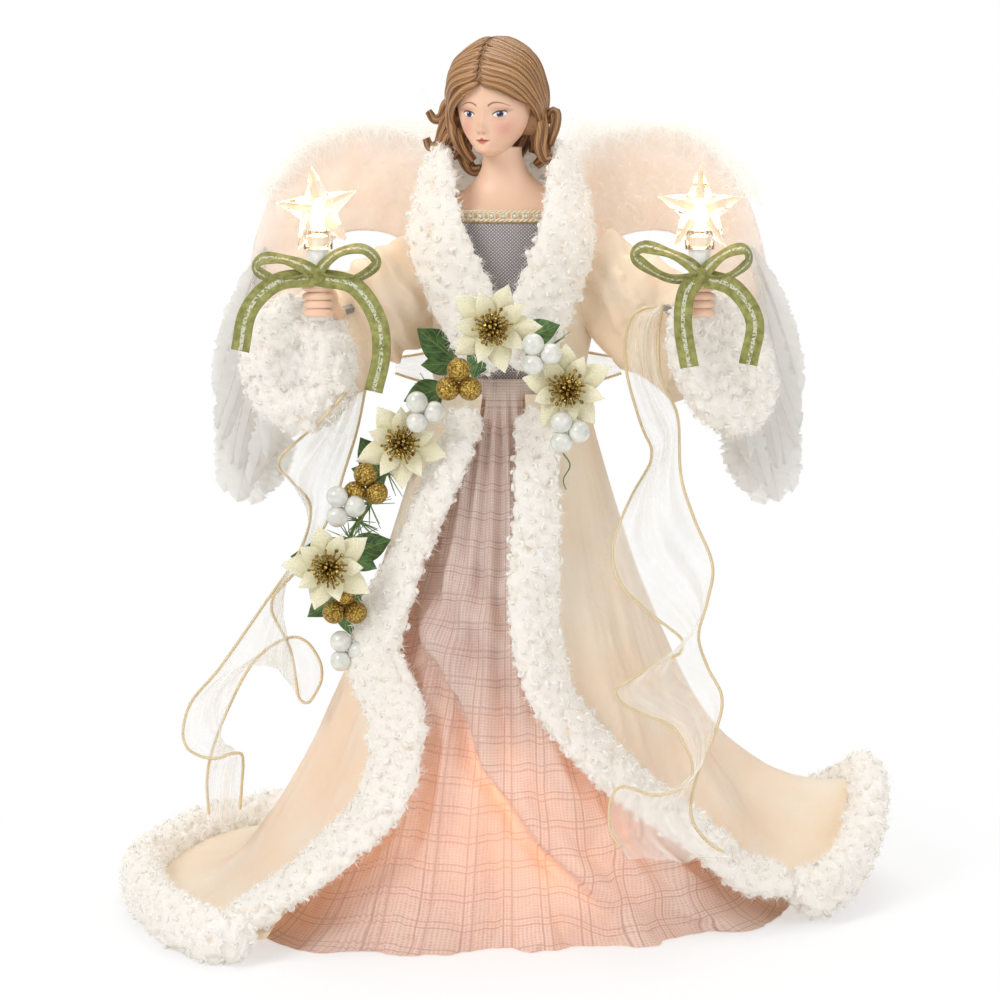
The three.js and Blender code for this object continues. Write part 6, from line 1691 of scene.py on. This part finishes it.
def scarves():
    for name, (outer, inner, free) in FALLS.items():
        edges = []
        for k, rail in enumerate((outer, inner)):
            flat = line([(x, 0, z) for x, z in rail], 300)
            t = np.linspace(0, 1, 300)
            y = np.interp(flat[:, 2], *free) + 4.5 * np.sin(2 * np.pi * (4.5 * t + 0.3 * k)) * np.minimum(1, 6 * t)
            y = np.minimum(y, [in_front(x, z, 0) - 3.0 for x, _, z in flat])
            y = np.minimum(y, np.convolve(np.pad(y, 9, "edge"), np.ones(19) / 19, "valid"))
            flat[:, 1] = np.maximum(y, -128)
            edges.append(flat)
        s = np.linspace(0, 1, 60)[None, :, None]
        p = edges[0][:, None] * (1 - s) + edges[1][:, None] * s
        t = np.linspace(0, 1, 300)[:, None]
        v = s[..., 0]
        middle = np.sin(np.pi * v)
        broad, narrow = np.sin(2 * np.pi * (1.5 * v + 2 * t)), np.sin(2 * np.pi * (3.6 * v - 3.2 * t))
        billow = 4.0 * broad + 2.2 * narrow + 2.4 * lumps(p, 12, 3, 2)
        p[..., 1] += billow * middle - (3 * middle if name == "right" else 0)
        obj = cloth_grid(p, f"scarf_{name}_organza", organza, "sheer_scarf", [f"scarf_{name}"])
        edge = edge_cords(f"scarf_{name}_cord", [line(p[::6, k], 720) for k in (0, -1)])
        declare_sheet(obj, p, "hung", [f"sleeve_{name}"], turned=True, with_pieces=[edge])
    behind = TORSO_WAIST + COAT_OUT + 0.35 + 0.8
    route = line([
        [s * CHEST_WIDE, behind * (0.8 if abs(s) > 1 else 1.06), 250 - (1 - abs(s) / 1.5) * 4.8]
        for s in (-1.5, -1.25, -0.8, 0, 0.8, 1.25, 1.5)
    ], 120)
    v = np.linspace(-1, 1, 40)[None, :, None]
    across = np.clip(1.35 - np.abs(route[:, 0]) / 52, 0.3, 1)[:, None, None]
    p = route[:, None] + vec(0, 0, 1) * 12 * v * across
    p[..., 1] += 0.8 + 1.0 * np.sin(v[..., 0] * 9) * np.cos(np.arange(120)[:, None] * 0.05)
    obj = cloth_grid(p, "scarf_back_organza", organza, "sheer_scarf", ["scarf_back"])
    edge = edge_cords("scarf_back_cord", [line(p[:, k], 240) for k in (0, -1)])
    declare_sheet(obj, p, "draped", ["coat_top"], with_pieces=[edge])


# Inner pieces keep their CAD form
def inner_pieces():
    card = painted("cone_board", shade(236, 226, 208), 0.85, 0.15, 1.5)
    foam = painted("foam_block", shade(232, 226, 214), 0.9, 0.5, 1.2)
    steel = painted("steel_wire", shade(168, 168, 170), 0.35, 0.05, 1.0, Metallic=0.85)
    plate = painted("wing_card", shade(238, 230, 216), 0.6, 0.08, 1.5)
    pvc = painted("lead_pvc", shade(232, 232, 226), 0.4, 0.04, 1.5)
    mini = glowing("mini_lamp", shade(255, 236, 204), 0.3, shade(255, 196, 128), 7)
    looks = {"tree_cone": card, "torso_block": foam, "arm_wire": steel, "wing_bracket": plate, "light_lead": pvc,
             "lamp_holder_left": holder_white, "lamp_holder_right": holder_white}
    looks.update({n: mini for n in MINI_LIGHTS})
    for node, look in looks.items():
        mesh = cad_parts[node].data
        mesh.materials.clear()
        mesh.materials.append(look)


# Stage, camera and lights
def studio():
    """A white floor and world that the eye, gloss and clear pieces see, an even light, and the photograph's view."""
    size = 3.0
    corners = [(-size, -size, 0), (size, -size, 0), (size, size, 0), (-size, size, 0)]
    mesh = bpy.data.meshes.new("floor")
    mesh.from_pydata(corners, [], [[0, 1, 2, 3]])
    pale = Finish("pale_floor", shade(250, 250, 250), 0.9, Specular_IOR_Level=0.1)
    pale.relief(pale.noise(4.0, 2), 0.02, 0.2)
    far = pale.node("ShaderNodeMapRange", _0=pale.gap_from((0, 0, 0)), _1=0.12, _2=0.3, _3=0.45, _4=1.0)
    seen = pale.node("ShaderNodeLightPath", "Is Camera Ray")
    pale.mix_in(pale.node("ShaderNodeEmission"), pale.math("MULTIPLY", far, seen))
    mesh.materials.append(pale.made)
    placed("floor", mesh)
    world = bpy.data.worlds.new("studio")
    bpy.context.scene.world = world
    world.use_nodes = True
    tree = world.node_tree
    ground = tree.nodes["Background"]
    ground.inputs[0].default_value = (1, 1, 1, 1)
    seen = tree.nodes.new("ShaderNodeLightPath")
    level, share = tree.nodes.new("ShaderNodeMath"), tree.nodes.new("ShaderNodeMath")
    level.operation = share.operation = "MAXIMUM"
    share.inputs[1].default_value = 0.5
    for source, target in (
        (seen.outputs["Is Camera Ray"], level.inputs[0]), (seen.outputs["Is Transmission Ray"], level.inputs[1]),
        (level.outputs[0], share.inputs[0]), (share.outputs[0], ground.inputs[1]),
    ):
        tree.links.new(source, target)
    for name, at, power, wide in (
        ("key", (-1.1, -1.1, 1.3), 15, 0.7), ("fill", (1.1, -1.1, 0.7), 5, 0.9), ("top", (0.1, 0.4, 1.7), 11, 1.0),
    ):
        lamp = bpy.data.lights.new(name, "AREA")
        lamp.energy, lamp.size = power, wide
        obj = placed(name, lamp)
        obj.location = at
        obj.rotation_euler = (Vector((0, 0, 0.18)) - Vector(at)).to_track_quat("-Z", "Y").to_euler()
    data = bpy.data.cameras.new("camera")
    data.lens, data.sensor_width = 100.3, 36
    camera = placed("camera", data)
    camera.location = (-0.004, -1.3, 0.36)
    camera.rotation_euler = (Vector((-0.004, 0, 0.189)) - camera.location).to_track_quat("-Z", "Y").to_euler()
    bpy.context.scene.camera = camera
    bpy.context.scene.view_settings.view_transform = "Standard"


studio()
inner_pieces()
gown()
coat()
trims()
collar_and_cuffs()
sleeves()
head()
shoulders()
hair()
bodice()
wings()
hands()
stars()
bows()
garland()
scarves()
for spare in (curl_tuft, wool_tuft, plume_tuft, flake_tuft, grain_tuft):
    bpy.data.objects.remove(spare)
